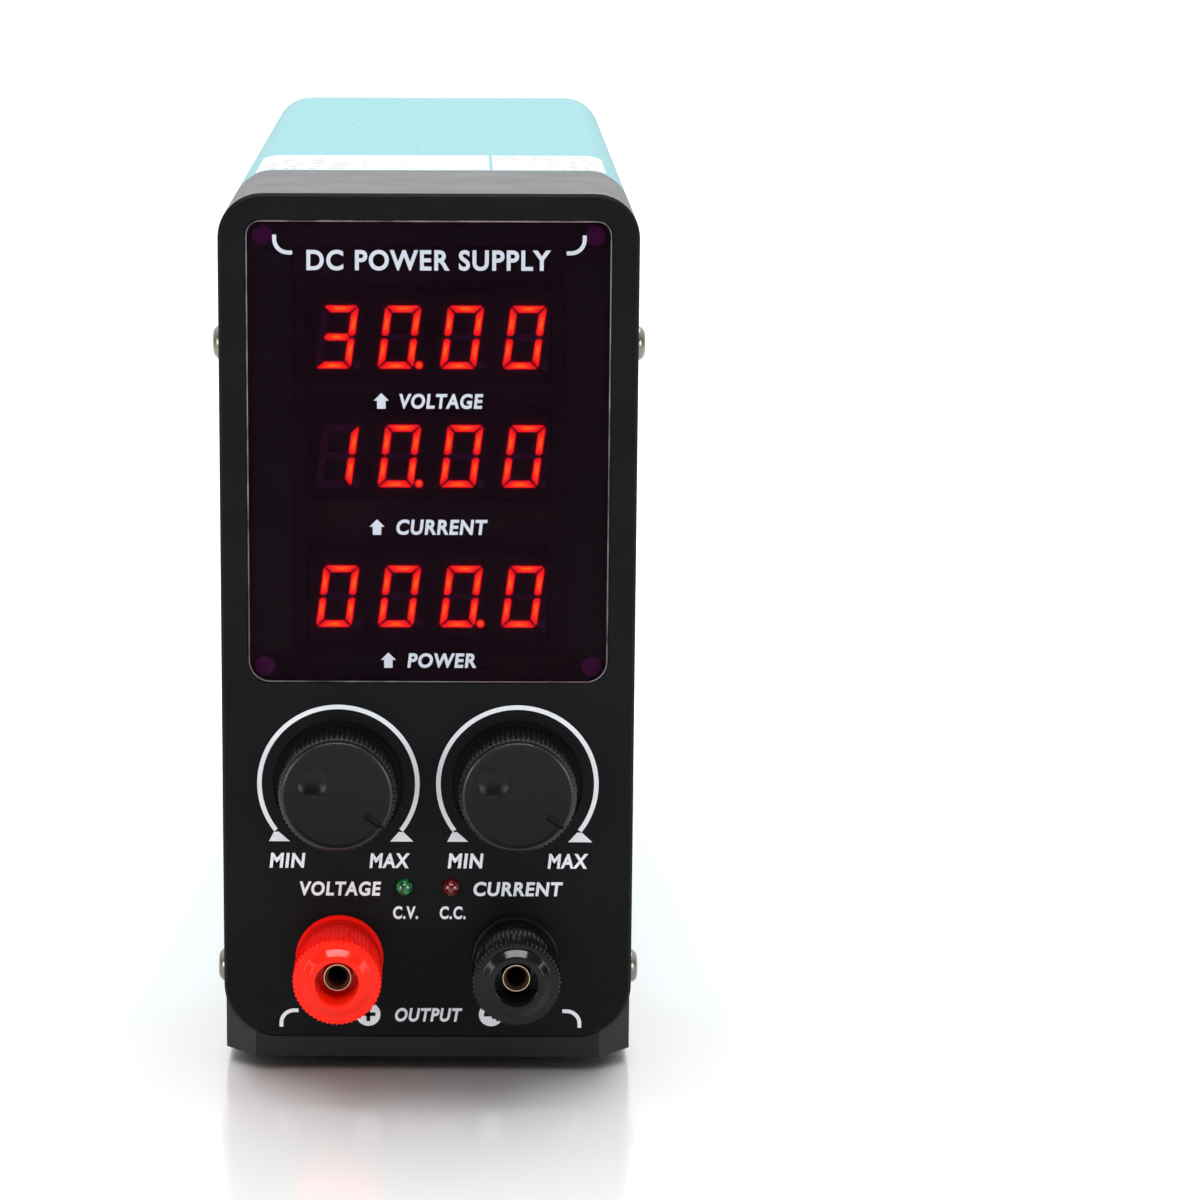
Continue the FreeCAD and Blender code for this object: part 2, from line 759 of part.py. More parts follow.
def potentiometer(label, sign):
    """Round body, threaded bushing through the panel and three pins to the control board."""
    x = f"{sign} * knob_x"
    front = "face_wall"
    solid = fused(
        "pot_solid",
        rod("can", "pot_radius", "pot_depth", (x, front, "knob_z")),
        rod("bushing", "bushing_radius", "face_wall + 3.2", (x, "-3.2", "knob_z")),
        *[box("pin", ("1.2", "2.5", "0.6"), (f"{x} + {step}", "11.5", "knob_z - 6")) for step in (-5, 0, 5)],
    )
    bore = rod("bore", "shaft_radius + thread_gap", "14.5", (x, "-4", "knob_z"))
    keep(label, cut(label, solid, bore))


def potentiometer_nuts():
    nuts = []
    for sign in (-1, 1):
        at = (f"{sign} * knob_x", "knob_well_depth - pot_nut_height", "knob_z")
        nut = hexagon("hexagon", "pot_nut_flats", "pot_nut_height", at)
        nuts.append(cut("pot_nut", nut, rod("hole", "bushing_radius", "pot_nut_height", at)))
    keep("potentiometer_nuts", group("potentiometer_nuts", nuts))


def shaft(label, sign):
    pin = rod("pin", "shaft_radius", "shaft_length", (f"{sign} * knob_x", "shaft_front", "knob_z"))
    keep(label, group(label, [pin]))


def knob(label, sign):
    """Ribbed control knob with a finger dimple and an engraved pointer."""
    body = new_body(label, (f"{sign} * knob_x", "face_y", "knob_z"))
    turned(body, [
        ("knob_front", "0"),
        ("knob_front", "knob_radius - 1.2"),
        ("knob_front + 0.6", "knob_radius - 0.6"),
        ("knob_front + 1.4", "knob_radius - 0.5"),
        ("knob_front + 1.7", "knob_radius"),
        ("knob_back", "knob_radius + 0.3"),
        ("knob_back", "8"),
        ("knob_back - 4", "8"),
        ("knob_back - 4", "shaft_radius"),
        ("shaft_front", "shaft_radius"),
        ("shaft_front", "0"),
    ])
    groove = sketch(body, "XZ_Plane", "groove", "-(knob_front + 1.7)")
    circle(groove, "0.5", "0", "knob_radius + 0.45")
    around(body, pocket(body, groove), "knob_ribs")
    pointer = sketch(body, "XZ_Plane", "pointer", "-knob_front")
    outline(pointer, [("4.9", "-3.9"), ("9.0", "-6.9"), ("9.7", "-5.9"), ("5.6", "-2.9")])
    pocket(body, pointer, "0.4")
    dimple = body.newObject("PartDesign::SubtractiveSphere", "dimple")
    dimple.Radius = 5.96
    dimple.Placement.Base = Vector(-5.0, number("knob_front") - 5.06, 2.9)
    doc.recompute()


def lamp(label, sign):
    """Round indicator LED with a flange and two legs to the control board."""
    x = f"{sign} * lamp_x"
    dome = doc.addObject("Part::Sphere", "dome")
    bind(dome, Radius="lamp_radius")
    place(dome, (x, "-0.2", "lamp_z"))
    legs = [rod("leg", "0.25", "control_board_y - 5.7", (f"{x} + {side} * lamp_leg_x", "5.7", "lamp_z"))
            for side in (-1, 1)]
    keep(label, fused(
        label,
        dome,
        rod("case", "lamp_radius", "6.2", (x, "-0.2", "lamp_z")),
        rod("flange", "lamp_flange", "1", (x, "5", "lamp_z")),
        *legs,
    ))


def ribbon_cable():
    """Flat cable from the display board, bent round to the control board."""
    width, thickness = 20.0, 1.2
    start = number("digit_y") + number("module_depth") + number("board_thickness")
    points = [(0, start, 86.5), (0, 24, 86.5), (0, 24, 72), (0, 15.6, 72)]
    corners = [Vector(x, start, z) for x, z in (
        (-width / 2, 86.5 - thickness / 2),
        (width / 2, 86.5 - thickness / 2),
        (width / 2, 86.5 + thickness / 2),
        (-width / 2, 86.5 + thickness / 2),
    )]
    cable = doc.addObject("Part::Feature", "ribbon_cable")
    cable.Shape = tube(points, 4.0, Part.makePolygon(corners + corners[:1]))
    keep("ribbon_cable", cable)


# Binding posts

def post_collar(label, sign):
    """Insulating collar: a flange with an undercut foot, and a spigot through the panel."""
    body = new_body(label, (f"{sign} * post_x", "face_y", "post_z"))
    turned(body, [
        ("collar_front", "stem_radius + thread_gap"),
        ("collar_front", "collar_radius - 0.5"),
        ("collar_front + 0.5", "collar_radius"),
        ("collar_back", "collar_radius"),
        ("collar_back + 0.2", "collar_foot"),
        ("0", "collar_foot"),
        ("0", "collar_spigot"),
        ("face_wall", "collar_spigot"),
        ("face_wall", "stem_radius + thread_gap"),
    ])


def post_stem(label, sign):
    """Brass stem with a 4 mm socket, countersunk at its mouth."""
    body = new_body(label, (f"{sign} * post_x", "face_y", "post_z"))
    turned(body, [
        ("stem_front + socket_chamfer", "socket_radius"),
        ("stem_front", "stem_radius - 0.45"),
        ("stem_front", "stem_radius - 0.2"),
        ("stem_front + 0.3", "stem_radius"),
        ("stem_back", "stem_radius"),
        ("stem_back", "0"),
        ("stem_front + socket_depth", "0"),
        ("stem_front + socket_depth", "socket_radius"),
    ])


def post_nuts():
    nuts = []
    for sign in (-1, 1):
        for y in ("face_wall", "face_wall + 5.2"):
            at = (f"{sign} * post_x", y, "post_z")
            nut = hexagon("hexagon", "post_nut_flats", "post_nut_height", at)
            nuts.append(cut("post_nut", nut, rod("hole", "stem_radius", "post_nut_height", at)))
    keep("post_nuts", group("post_nuts", nuts))


def output_lead(label, sign):
    """Ring terminal between the post's nuts and the insulated wire back to the main board."""
    x = sign * number("post_x")
    y = number("face_wall") + 4.6
    z = number("post_z")
    flat = Vector(0, 1.2, 0)
    start = Vector(x, number("face_wall") + 4.0, z)
    eye = Part.makeCylinder(5.5, 1.2, start, Vector(0, 1, 0))
    tongue = Part.makeBox(4, 1.2, 6, Vector(x - 2, start.y, z - 9))
    bore = Part.makeCylinder(number("stem_radius"), 1.2, start, flat)
    end_z = number("board_bottom") + number("board_thickness")
    points = [(x, y, z - 7), (x, y, 14.6), (x, 46, 14.6), (x, 56, 26), (x, 67, 26), (x, 67, end_z)]
    wire = tube(points, 2.4, round_section(points[0], (0, 0, -1), 1.6))
    lead = doc.addObject("Part::Feature", label)
    lead.Shape = eye.fuse([tongue, wire]).cut(bore).removeSplitter()
    keep(label, lead)


def clamp_ring(label, sign):
    """Captive metal washer that moves in and out with the cap."""
    at = (f"{sign} * post_x", "collar_front - clamp_thickness - 0.03", "post_z")
    keep(label, ring(label, "clamp_radius", "stem_radius + thread_gap", "clamp_thickness", at))


def post_cap(label, sign):
    """Screw cap: a wide mouth for the plug, a cone round it, ribs, and a smooth neck at the back."""
    body = new_body(label, (f"{sign} * post_x", "face_y", "post_z"))
    turned(body, [
        ("cap_front", "cap_mouth"),
        ("cap_front", "5.8"),
        ("cap_front + 1.1", "7.3"),
        ("cap_front + 1.1", "cap_radius - 0.3"),
        ("cap_front + 1.4", "cap_radius"),
        ("cap_back - 2.6", "cap_radius"),
        ("cap_back - 2.1", "cap_neck"),
        ("cap_back", "cap_neck"),
        ("cap_back", "stem_radius + thread_gap"),
        ("-12.5", "stem_radius + thread_gap"),
        ("-12.5", "cap_mouth"),
    ])
    groove = sketch(body, "XZ_Plane", "groove", "-(cap_front + 1.1)")
    circle(groove, "0.42", "0", "cap_radius + 0.18")
    around(body, pocket(body, groove, "cap_rib_length"), "cap_ribs")


# Main board

BOARD_HOLES = [("-31", "66"), ("31", "66"), ("-31", "152"), ("31", "125"), ("-31", "221"), ("31", "221")]


def main_board():
    plate = box("plate", ("2 * board_half", "board_back - board_front", "board_thickness"),
                ("0", "board_front", "board_bottom"))
    holes = [rod("hole", "1.6", "4", (x, y, "board_bottom - 1"), "z") for x, y in BOARD_HOLES]
    keep("main_board", cut("main_board", plate, *holes))


def board_standoffs():
    posts = [ring("standoff", "3", "1.5", f"board_bottom - ({CHASSIS_FLOOR})", (x, y, CHASSIS_FLOOR), "z")
             for x, y in BOARD_HOLES]
    keep("board_standoffs", group("board_standoffs", posts))


def board_screws():
    screws = [fused(
        "screw",
        rod("head", "2.8", "2", (x, y, BOARD_TOP), "z"),
        rod("shank", "1.5", "board_thickness + 4", (x, y, f"{BOARD_TOP} - board_thickness - 4"), "z"),
    ) for x, y in BOARD_HOLES]
    keep("board_screws", group("board_screws", screws))


def transformer_core():
    """Ferrite core: two outer legs and a centre leg."""
    yoke = "core_width / 6"
    block = box("block", ("core_width", "core_depth", "core_width"), ("0", "core_y", BOARD_TOP))
    windows = [box("window", ("core_window", "core_depth + 2", f"core_width - 2 * {yoke}"),
                   (f"{s} * core_width / 4", "core_y - 1", f"{BOARD_TOP} + {yoke}")) for s in (-1, 1)]
    keep("transformer_core", cut("transformer_core", block, *windows))


def transformer_winding():
    """Taped coil on its former, round the centre leg."""
    coil = box("coil", ("29.4", "30", "27.6"), ("0", "115", f"{BOARD_TOP} + 7.2"))
    leg = box("leg", ("12.2", "16.2", "30"), ("0", "121.9", f"{BOARD_TOP} + 6"))
    keep("transformer_winding", cut("transformer_winding", coil, leg))


def capacitors(label, radius, height, places):
    """Upright cylinders with a crimped groove near the bottom."""
    cans = []
    for x, y in places:
        groove = ring("groove", f"{radius} + 1", f"{radius} - 0.6", "0.8", (x, y, f"{BOARD_TOP} + 3"), "z")
        cans.append(cut("capacitor", rod("can", radius, height, (x, y, BOARD_TOP), "z"), groove))
    keep(label, group(label, cans))


def heatsink(label, sign, first_y, length, height):
    """Aluminium extrusion: a back plate and upright fins towards the case wall."""
    plate = box("plate", ("3", length, height), (f"{sign} * sink_x", first_y, BOARD_TOP))
    fins = []
    count = int(length // 7) + 1
    for i in range(count):
        y = f"{first_y} + {i} * ({length} - 1.5) / {count - 1}"
        fins.append(box("fin", ("5", "1.5", height), (f"{sign} * (sink_x + 3.5)", y, BOARD_TOP)))
    keep(label, fused(label, plate, *fins))


def power_devices(label, sign, places):
    """Flat transistor packages against a heatsink, each with three legs."""
    devices = []
    for y in places:
        x = f"{sign} * device_x"
        case = box("case", ("5", "device_width", "device_height"),
                   (x, f"{y} - device_width / 2", f"{BOARD_TOP} + 16"))
        legs = [box("leg", ("0.8", "1.2", "16"), (x, f"{y} - 0.6 + {step}", BOARD_TOP))
                for step in (-5.4, 0, 5.4)]
        devices.append(fused("device", case, *legs))
    keep(label, group(label, devices))


def choke_core():
    keep("choke_core", ring("choke_core", "15", "8", "12", ("10", "90", "19.4"), "z"))


def choke_winding():
    """Turns of thick enamelled wire round the core."""
    turns = []
    count = 14
    for i in range(count):
        angle = 2 * math.pi * i / count
        centre = Vector(10 + 11.5 * math.cos(angle), 90 + 11.5 * math.sin(angle), 25.4)
        tangent = Vector(-math.sin(angle), math.cos(angle), 0)
        turns.append(Part.makeTorus(8.2, 0.7, centre, tangent))
    winding = doc.addObject("Part::Feature", "choke_winding")
    winding.Shape = Part.makeCompound(turns)
    keep("choke_winding", winding)


# Rear fittings

def fan_frame():
    """Square frame with a round duct, and a motor hub held by four struts at the rear."""
    front = f"{REAR_INSIDE} - fan_depth"
    frame = box("frame", ("fan_size", "fan_depth", "fan_size"), ("0", front, "fan_z - fan_size / 2"))
    duct = rod("duct", "fan_duct", "fan_depth", ("0", front, "fan_z"))
    holes = [rod("hole", "2.15", "fan_depth", (f"{a} * fan_pitch", front, f"fan_z + {b} * fan_pitch"))
             for a in (-1, 1) for b in (-1, 1)]
    strut_y = f"{REAR_INSIDE} - 3.2"
    struts = [
        box("strut", ("fan_size - 2", "3.2", "fan_strut"), ("0", strut_y, "fan_z - fan_strut / 2")),
        box("strut", ("fan_strut", "3.2", "fan_size - 2"), ("0", strut_y, "fan_z - fan_size / 2 + 1")),
        rod("hub", "fan_hub", "4", ("0", f"{REAR_INSIDE} - 4", "fan_z")),
    ]
    bearing = rod("bearing", "1.55", "3", ("0", f"{REAR_INSIDE} - 4", "fan_z"))
    open_frame = cut("open_frame", frame, duct, *holes)
    keep("fan_frame", cut("fan_frame", fused("frame_and_hub", open_frame, *struts), bearing))


def fan_rotor():
    """Hub cup with seven pitched blades and a steel pin in the bearing."""
    front = number("case_depth") - number("rear_thickness") - number("fan_depth")
    blades = []
    count = 7
    for i in range(count):
        blade = doc.addObject("Part::Box", "blade")
        blade.Length = 16.0
        blade.Width = 1.4
        blade.Height = 14.0
        pitch = Placement(Vector(), Rotation(Vector(1, 0, 0), -90 + 40))
        centred = Placement(Vector(11.3, -0.7, -7.0), Rotation())
        spin = Placement(Vector(0, front + 8.5, number("fan_z")), Rotation(Vector(0, 1, 0), 360 / count * i))
        blade.Placement = spin * pitch * centred
        blades.append(blade)
    hub = rod("hub", "fan_hub + 0.4", "13.6", ("0", f"{REAR_INSIDE} - fan_depth + 1.8", "fan_z"))
    pin = rod("pin", "1.5", "4", ("0", f"{REAR_INSIDE} - fan_depth + 15", "fan_z"))
    keep("fan_rotor", fused("fan_rotor", hub, pin, *blades))


def fan_grille():
    """Welded wire guard: four rings, four arms and an eyelet at each corner."""
    wires = []
    for radius in ("8", "14", "20", "26"):
        loop = doc.addObject("Part::Torus", "loop")
        loop.Placement = Placement(Vector(), ALONG["y"])
        bind(loop, Radius1=radius, Radius2="grille_wire")
        wires.append(place(loop, ("0", "case_depth + 1", "fan_z")))
    for i in range(4):
        angle = math.radians(45 + 90 * i)
        arm = doc.addObject("Part::Cylinder", "arm")
        bind(arm, Radius="grille_wire")
        arm.Height = 26.0
        arm.Placement.Rotation = Rotation(Vector(0, 0, 1), Vector(math.cos(angle), 0, math.sin(angle)))
        start = (f"{7 * math.cos(angle)}", "case_depth + 2.1", f"fan_z + {7 * math.sin(angle)}")
        wires.append(place(arm, start))
    for a in (-1, 1):
        for b in (-1, 1):
            at = (f"{a} * fan_pitch", "case_depth", f"fan_z + {b} * fan_pitch")
            wires.append(ring("eyelet", "eyelet_radius", "2.1", "eyelet_height", at))
    keep("fan_grille", fused("fan_grille", *wires))


def fan_screws():
    screws = []
    for a in (-1, 1):
        for b in (-1, 1):
            x, z = f"{a} * fan_pitch", f"fan_z + {b} * fan_pitch"
            screws.append(fused(
                "fan_screw",
                cone("dome", "fan_head_radius", "2.2", "1.2", (x, "case_depth + eyelet_height + 0.9", z)),
                rod("head", "fan_head_radius", "0.9", (x, "case_depth + eyelet_height", z)),
                rod("shank", "2", "18", (x, "case_depth - 15.1", z)),
            ))
    keep("fan_screws", group("fan_screws", screws))


INLET_PINS = [("-7", "inlet_z"), ("7", "inlet_z"), ("0", "inlet_z + 4")]


def mains_inlet():
    """Three-pin appliance inlet: flange with two ears, and a deep cavity."""
    flange = box("flange", ("inlet_width", "inlet_flange", "inlet_height"),
                 ("0", "case_depth", "inlet_z - inlet_height / 2"))
    barrel = box("barrel", ("27.4", "20", "20.4"), ("0", "case_depth - 20", "inlet_z - 10.2"))
    cavity = box("cavity", ("24", "17.4", "16.5"), ("0", "case_depth - 15", "inlet_z - 8.25"))
    slots = [box("slot", ("2", "10", "4"), (x, "case_depth - 22", f"{z} - 2")) for x, z in INLET_PINS]
    holes = [rod("hole", "1.6", "5", (f"{s} * inlet_screw_x", "case_depth - 1", "inlet_z")) for s in (-1, 1)]
    keep("mains_inlet", cut("mains_inlet", fused("inlet_solid", flange, barrel), cavity, *slots, *holes))


def inlet_pins():
    pins = [box("pin", ("2", "27", "4"), (x, "case_depth - 27", f"{z} - 2")) for x, z in INLET_PINS]
    keep("inlet_pins", group("inlet_pins", pins))


def switch_housing():
    """Snap-in housing of the power switch, with a round bearing hole in each side wall."""
    x = "-switch_x"
    solid = fused(
        "switch_solid",
        box("flange", ("15", "1.8", "21"), (x, "case_depth", "switch_z - 10.5")),
        box("barrel", ("13", "14", "19.2"), (x, "case_depth - 14", "switch_z - 9.6")),
    )
    cavity = box("cavity", ("11", "11", "17.4"), (x, "case_depth - 8.5", "switch_z - 8.7"))
    bearing = rod("bearing", "1.05", "12.2", (f"{x} - 6.1", "rocker_pivot", "switch_z"), "x")
    keep("switch_housing", cut("switch_housing", solid, cavity, bearing))


def power_rocker():
    """Rocker with a shallow V face, on a pin across the housing. It rests tipped to its on side."""
    half = 5.3
    profile = [(-3.2, 0), (-1.4, 6.2), (5.4, 6.9), (4.1, 0), (5.4, -6.9), (-1.4, -6.2)]
    points = [Vector(-half, y, z) for y, z in profile]
    block = Part.Face(Part.makePolygon(points + points[:1])).extrude(Vector(2 * half, 0, 0))
    pin = Part.makeCylinder(1.0, 12.0, Vector(-6, 0, 0), Vector(1, 0, 0))
    solid = block.fuse(pin).removeSplitter()
    rocker = doc.addObject("Part::Feature", "power_rocker")
    solid.rotate(Vector(), Vector(1, 0, 0), number("rocker_tilt"))
    rocker.Shape = solid
    keep("power_rocker", rocker, ("-switch_x", "face_y + rocker_pivot", "switch_z"))


def selector_housing():
    """Slide-switch body on two ears behind the panel."""
    solid = fused(
        "selector_solid",
        box("ears", ("10", "1", "30"), ("switch_x", f"{REAR_INSIDE} - 1", "switch_z - 15")),
        box("barrel", ("10", "8.8", "19"), ("switch_x", f"{REAR_INSIDE} - 8.8", "switch_z - 9.5")),
    )
    cavity = box("cavity", ("4.8", "6.4", "13.6"), ("switch_x", f"{REAR_INSIDE} - 6.3", "switch_z - 6.8"))
    holes = [rod("hole", "1.5", "4", ("switch_x", f"{REAR_INSIDE} - 3", f"switch_z + {s} * selector_screw_z"))
             for s in (-1, 1)]
    keep("selector_housing", cut("selector_housing", solid, cavity, *holes))


def selector_slider():
    """Slider with a screwdriver slot, resting at the upper end of its travel."""
    middle = "switch_z + selector_travel / 2"
    solid = box("slider", ("4.6", "8.4", "8"), ("switch_x", f"{REAR_INSIDE} - 6.1", f"{middle} - 4"))
    slot = box("slot", ("5", "1.2", "1.2"), ("switch_x", "case_depth + 0.2", f"{middle} - 0.6"))
    keep("selector_slider", cut("selector_slider", solid, slot))


def rear_fitting_screws():
    """Two screws for the mains inlet and two for the voltage selector."""
    screws = []
    for x in ("-inlet_screw_x", "inlet_screw_x"):
        screws.append(fused(
            "inlet_screw",
            rod("head", "2.8", "1.6", (x, "case_depth + inlet_flange", "inlet_z")),
            rod("shank", "1.5", "10", (x, "case_depth - 7.8", "inlet_z")),
        ))
    for z in ("switch_z - selector_screw_z", "switch_z + selector_screw_z"):
        screws.append(fused(
            "selector_screw",
            rod("head", "2.6", "1.4", ("switch_x", "case_depth", z)),
            rod("shank", "1.4", "5", ("switch_x", "case_depth - 5", z)),
        ))
    keep("rear_fitting_screws", group("rear_fitting_screws", screws))


def build():
    fill_sheet()
    front_bezel()
    display_lens()
    cover()
    base_tray()
    chassis()
    rear_panel()
    side_screws()
    rubber_feet()
    top_labels()
    display_board()
    display_board_screws()
    display_module("voltage_display", "voltage_row")
    display_module("current_display", "current_row")
    display_module("power_display", "power_row")
    control_board()
    potentiometer_nuts()
    ribbon_cable()
    for name, sign in (("voltage", -1), ("current", 1)):
        potentiometer(f"{name}_potentiometer", sign)
        shaft(f"{name}_shaft", sign)
        knob(f"{name}_knob", sign)
    lamp("cv_lamp", -1)
    lamp("cc_lamp", 1)
    post_nuts()
    for name, sign in (("positive", -1), ("negative", 1)):
        post_collar(f"{name}_collar", sign)
        post_stem(f"{name}_stem", sign)
        output_lead(f"{name}_lead", sign)
        clamp_ring(f"{name}_clamp_ring", sign)
        post_cap(f"{name}_cap", sign)
    main_board()
    board_standoffs()
    board_screws()
    transformer_core()
    transformer_winding()
    capacitors("bulk_capacitors", "12.5", "45", [("-17", "170"), ("-17", "198")])
    capacitors("output_capacitors", "5.5", "24", [("-17", "76"), ("-17", "89"), ("-17", "102")])
    heatsink("primary_heatsink", 1, 132, 84, 78)
    heatsink("output_heatsink", -1, 74, 70, 68)
    power_devices("power_transistors", 1, [158, 180, 202])
    power_devices("output_rectifiers", -1, [92, 122])
    choke_core()
    choke_winding()
    fan_frame()
    fan_rotor()
    fan_grille()
    fan_screws()
    mains_inlet()
    inlet_pins()
    switch_housing()
    power_rocker()
    selector_housing()
    selector_slider()
    rear_fitting_screws()
    doc.recompute()


def check():
    """Stops before writing if any object failed or any sub-part is not a valid closed shape."""
    failed = [o.Label for o in doc.Objects if {"Invalid", "Error"} & set(o.State)]
    if failed:
        raise RuntimeError(f"objects that failed: {failed}")
    for label, obj in subparts.items():
        shape = obj.Shape
        if shape.isNull() or not shape.isValid() or not shape.Solids or shape.Volume <= 0:
            raise RuntimeError(f"{label} is not a valid solid")


def write():
    os.makedirs("parts", exist_ok=True)
    for label, obj in subparts.items():
        obj.Shape.exportStep(f"parts/{label}.step")
        print(f"{label}: {len(obj.Shape.Solids)} solids, {obj.Shape.Volume:.1f} mm3")


build()
check()
write()
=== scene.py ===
"""Looks of the bench power supply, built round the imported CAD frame."""
import json
import math

import bmesh
import bpy
import numpy as np
from mathutils import Matrix, Vector


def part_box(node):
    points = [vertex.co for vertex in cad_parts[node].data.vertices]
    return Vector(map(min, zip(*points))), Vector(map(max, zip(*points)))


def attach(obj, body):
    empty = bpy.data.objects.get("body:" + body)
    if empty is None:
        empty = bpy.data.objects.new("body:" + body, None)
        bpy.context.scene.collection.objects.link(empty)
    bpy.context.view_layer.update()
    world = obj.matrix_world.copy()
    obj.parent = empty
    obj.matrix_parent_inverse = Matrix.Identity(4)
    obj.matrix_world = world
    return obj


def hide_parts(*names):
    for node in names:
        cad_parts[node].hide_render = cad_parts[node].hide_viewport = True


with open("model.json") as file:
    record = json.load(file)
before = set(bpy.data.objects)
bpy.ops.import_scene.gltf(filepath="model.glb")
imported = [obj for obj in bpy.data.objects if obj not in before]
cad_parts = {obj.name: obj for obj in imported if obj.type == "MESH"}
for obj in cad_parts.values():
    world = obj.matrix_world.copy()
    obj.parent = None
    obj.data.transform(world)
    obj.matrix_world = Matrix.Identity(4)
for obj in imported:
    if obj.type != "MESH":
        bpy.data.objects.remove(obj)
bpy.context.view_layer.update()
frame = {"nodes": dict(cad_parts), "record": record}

# Reference places, all read from the frame. Builders work in millimetres in a local frame whose
# x is right, y is up and z points away from the surface they stand on.

MM = 0.001
BEZEL_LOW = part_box("front_bezel")[0]
LENS_LOW, LENS_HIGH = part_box("display_lens")
COVER_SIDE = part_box("cover")[1].x
REAR_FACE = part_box("rear_panel")[1].y

FACING = {
    "front": Matrix.Rotation(math.radians(90), 4, "X"),
    "rear": Matrix.Rotation(math.radians(180), 4, "Z") @ Matrix.Rotation(math.radians(90), 4, "X"),
    "right": Matrix.Rotation(math.radians(90), 4, "Z") @ Matrix.Rotation(math.radians(90), 4, "X"),
    "left": Matrix.Rotation(math.radians(-90), 4, "Z") @ Matrix.Rotation(math.radians(90), 4, "X"),
}


def local(point, side="front"):
    """A millimetre frame that stands on a point of the row frame and faces one side."""
    return Matrix.Translation(point) @ FACING[side] @ Matrix.Scale(MM, 4)


def middle(node):
    low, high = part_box(node)
    return (low + high) / 2


def on_panel(node):
    """The frame on the bezel's front face, at a node's axis."""
    centre = middle(node)
    return local((centre.x, BEZEL_LOW.y, centre.z))


PANEL = local((0, BEZEL_LOW.y, BEZEL_LOW.z))


# Mesh helpers

def bridge(bm, first, second, closed=True):
    """Joins two rings of vertices with quads, or a ring and a single vertex with triangles."""
    count = max(len(first), len(second))
    for i in range(count if closed else count - 1):
        j = (i + 1) % count
        if len(first) == 1:
            bm.faces.new((first[0], second[j], second[i]))
        elif len(second) == 1:
            bm.faces.new((first[i], first[j], second[0]))
        else:
            bm.faces.new((first[i], first[j], second[j], second[i]))


def ring_of(bm, place, points):
    return [bm.verts.new(place @ Vector(p)) for p in points]


def add_prism(bm, place, outline, low, high):
    """A flat (x, y) outline made solid between two heights."""
    below = ring_of(bm, place, [(x, y, low) for x, y in outline])
    above = ring_of(bm, place, [(x, y, high) for x, y in outline])
    bm.faces.new(above)
    bm.faces.new(below[::-1])
    bridge(bm, below, above)


def add_box(bm, place, low, high):
    outline = [(low[0], low[1]), (high[0], low[1]), (high[0], high[1]), (low[0], high[1])]
    add_prism(bm, place, outline, low[2], high[2])


def add_lathe(bm, place, profile, steps, loop=False, waves=0, depth=None):
    """Turns (height, radius) points about the local z axis. loop joins the last point to the first.
    waves cuts that many grooves; depth gives each point's groove depth."""
    rings = []
    for index, (height, radius) in enumerate(profile):
        if radius == 0:
            rings.append(ring_of(bm, place, [(0, 0, height)]))
            continue
        cut = depth[index] if depth else 0
        turns = [2 * math.pi * i / steps for i in range(steps)]
        reach = [radius - cut * (0.5 - 0.5 * math.cos(waves * a)) ** 1.5 for a in turns]
        rings.append(ring_of(bm, place, [(r * math.cos(a), r * math.sin(a), height)
                                         for r, a in zip(reach, turns)]))
    for first, second in zip(rings, rings[1:]):
        bridge(bm, first, second)
    if loop:
        bridge(bm, rings[-1], rings[0])


def add_layers(bm, place, outline_at, layers):
    """A solid whose outline at each height is outline_at(inset). layers are (height, inset)."""
    rings = [ring_of(bm, place, [(x, y, height) for x, y in outline_at(inset)])
             for height, inset in layers]
    for first, second in zip(rings, rings[1:]):
        bridge(bm, first, second)
    bm.faces.new(rings[0][::-1])
    bm.faces.new(rings[-1])


def arc(cx, cy, radius, start, end, steps):
    """Points on an arc; the angles are in degrees, anticlockwise from the right."""
    angles = [math.radians(start + (end - start) * i / steps) for i in range(steps + 1)]
    return [(cx + radius * math.cos(a), cy + radius * math.sin(a)) for a in angles]


def stroke(points, width):
    """The outline of a line of that width drawn along points."""
    left, right = [], []
    for i, (x, y) in enumerate(points):
        x0, y0 = points[max(i - 1, 0)]
        x1, y1 = points[min(i + 1, len(points) - 1)]
        length = math.hypot(x1 - x0, y1 - y0)
        nx, ny = -(y1 - y0) / length * width / 2, (x1 - x0) / length * width / 2
        left.append((x + nx, y + ny))
        right.append((x - nx, y - ny))
    return right + left[::-1]


def rounded(width, height, low_radius, high_radius, steps=10):
    """A function that gives a rounded rectangle, standing at y = 0, pulled in by an inset."""
    def outline_at(inset):
        half = width / 2 - inset
        low, high = max(low_radius - inset, 0.05), max(high_radius - inset, 0.05)
        bottom, top = inset, height - inset
        return (arc(half - low, bottom + low, low, -90, 0, steps)
                + arc(half - high, top - high, high, 0, 90, steps)
                + arc(high - half, top - high, high, 90, 180, steps)
                + arc(low - half, bottom + low, low, 180, 270, steps))
    return outline_at


def make(name, bm, look, smooth=30):
    """Turns a bmesh into an object that is smooth except at edges sharper than that angle."""
    bmesh.ops.recalc_face_normals(bm, faces=bm.faces)
    mesh = bpy.data.meshes.new(name)
    bm.to_mesh(mesh)
    bm.free()
    return shade(link(bpy.data.objects.new(name, mesh)), look, smooth)


def link(obj):
    bpy.context.scene.collection.objects.link(obj)
    return obj


def shade(obj, look, smooth=30):
    obj.data.materials.clear()
    obj.data.materials.append(look)
    obj.data.polygons.foreach_set("use_smooth", [True] * len(obj.data.polygons))
    obj.data.set_sharp_from_angle(angle=math.radians(smooth))
    return obj


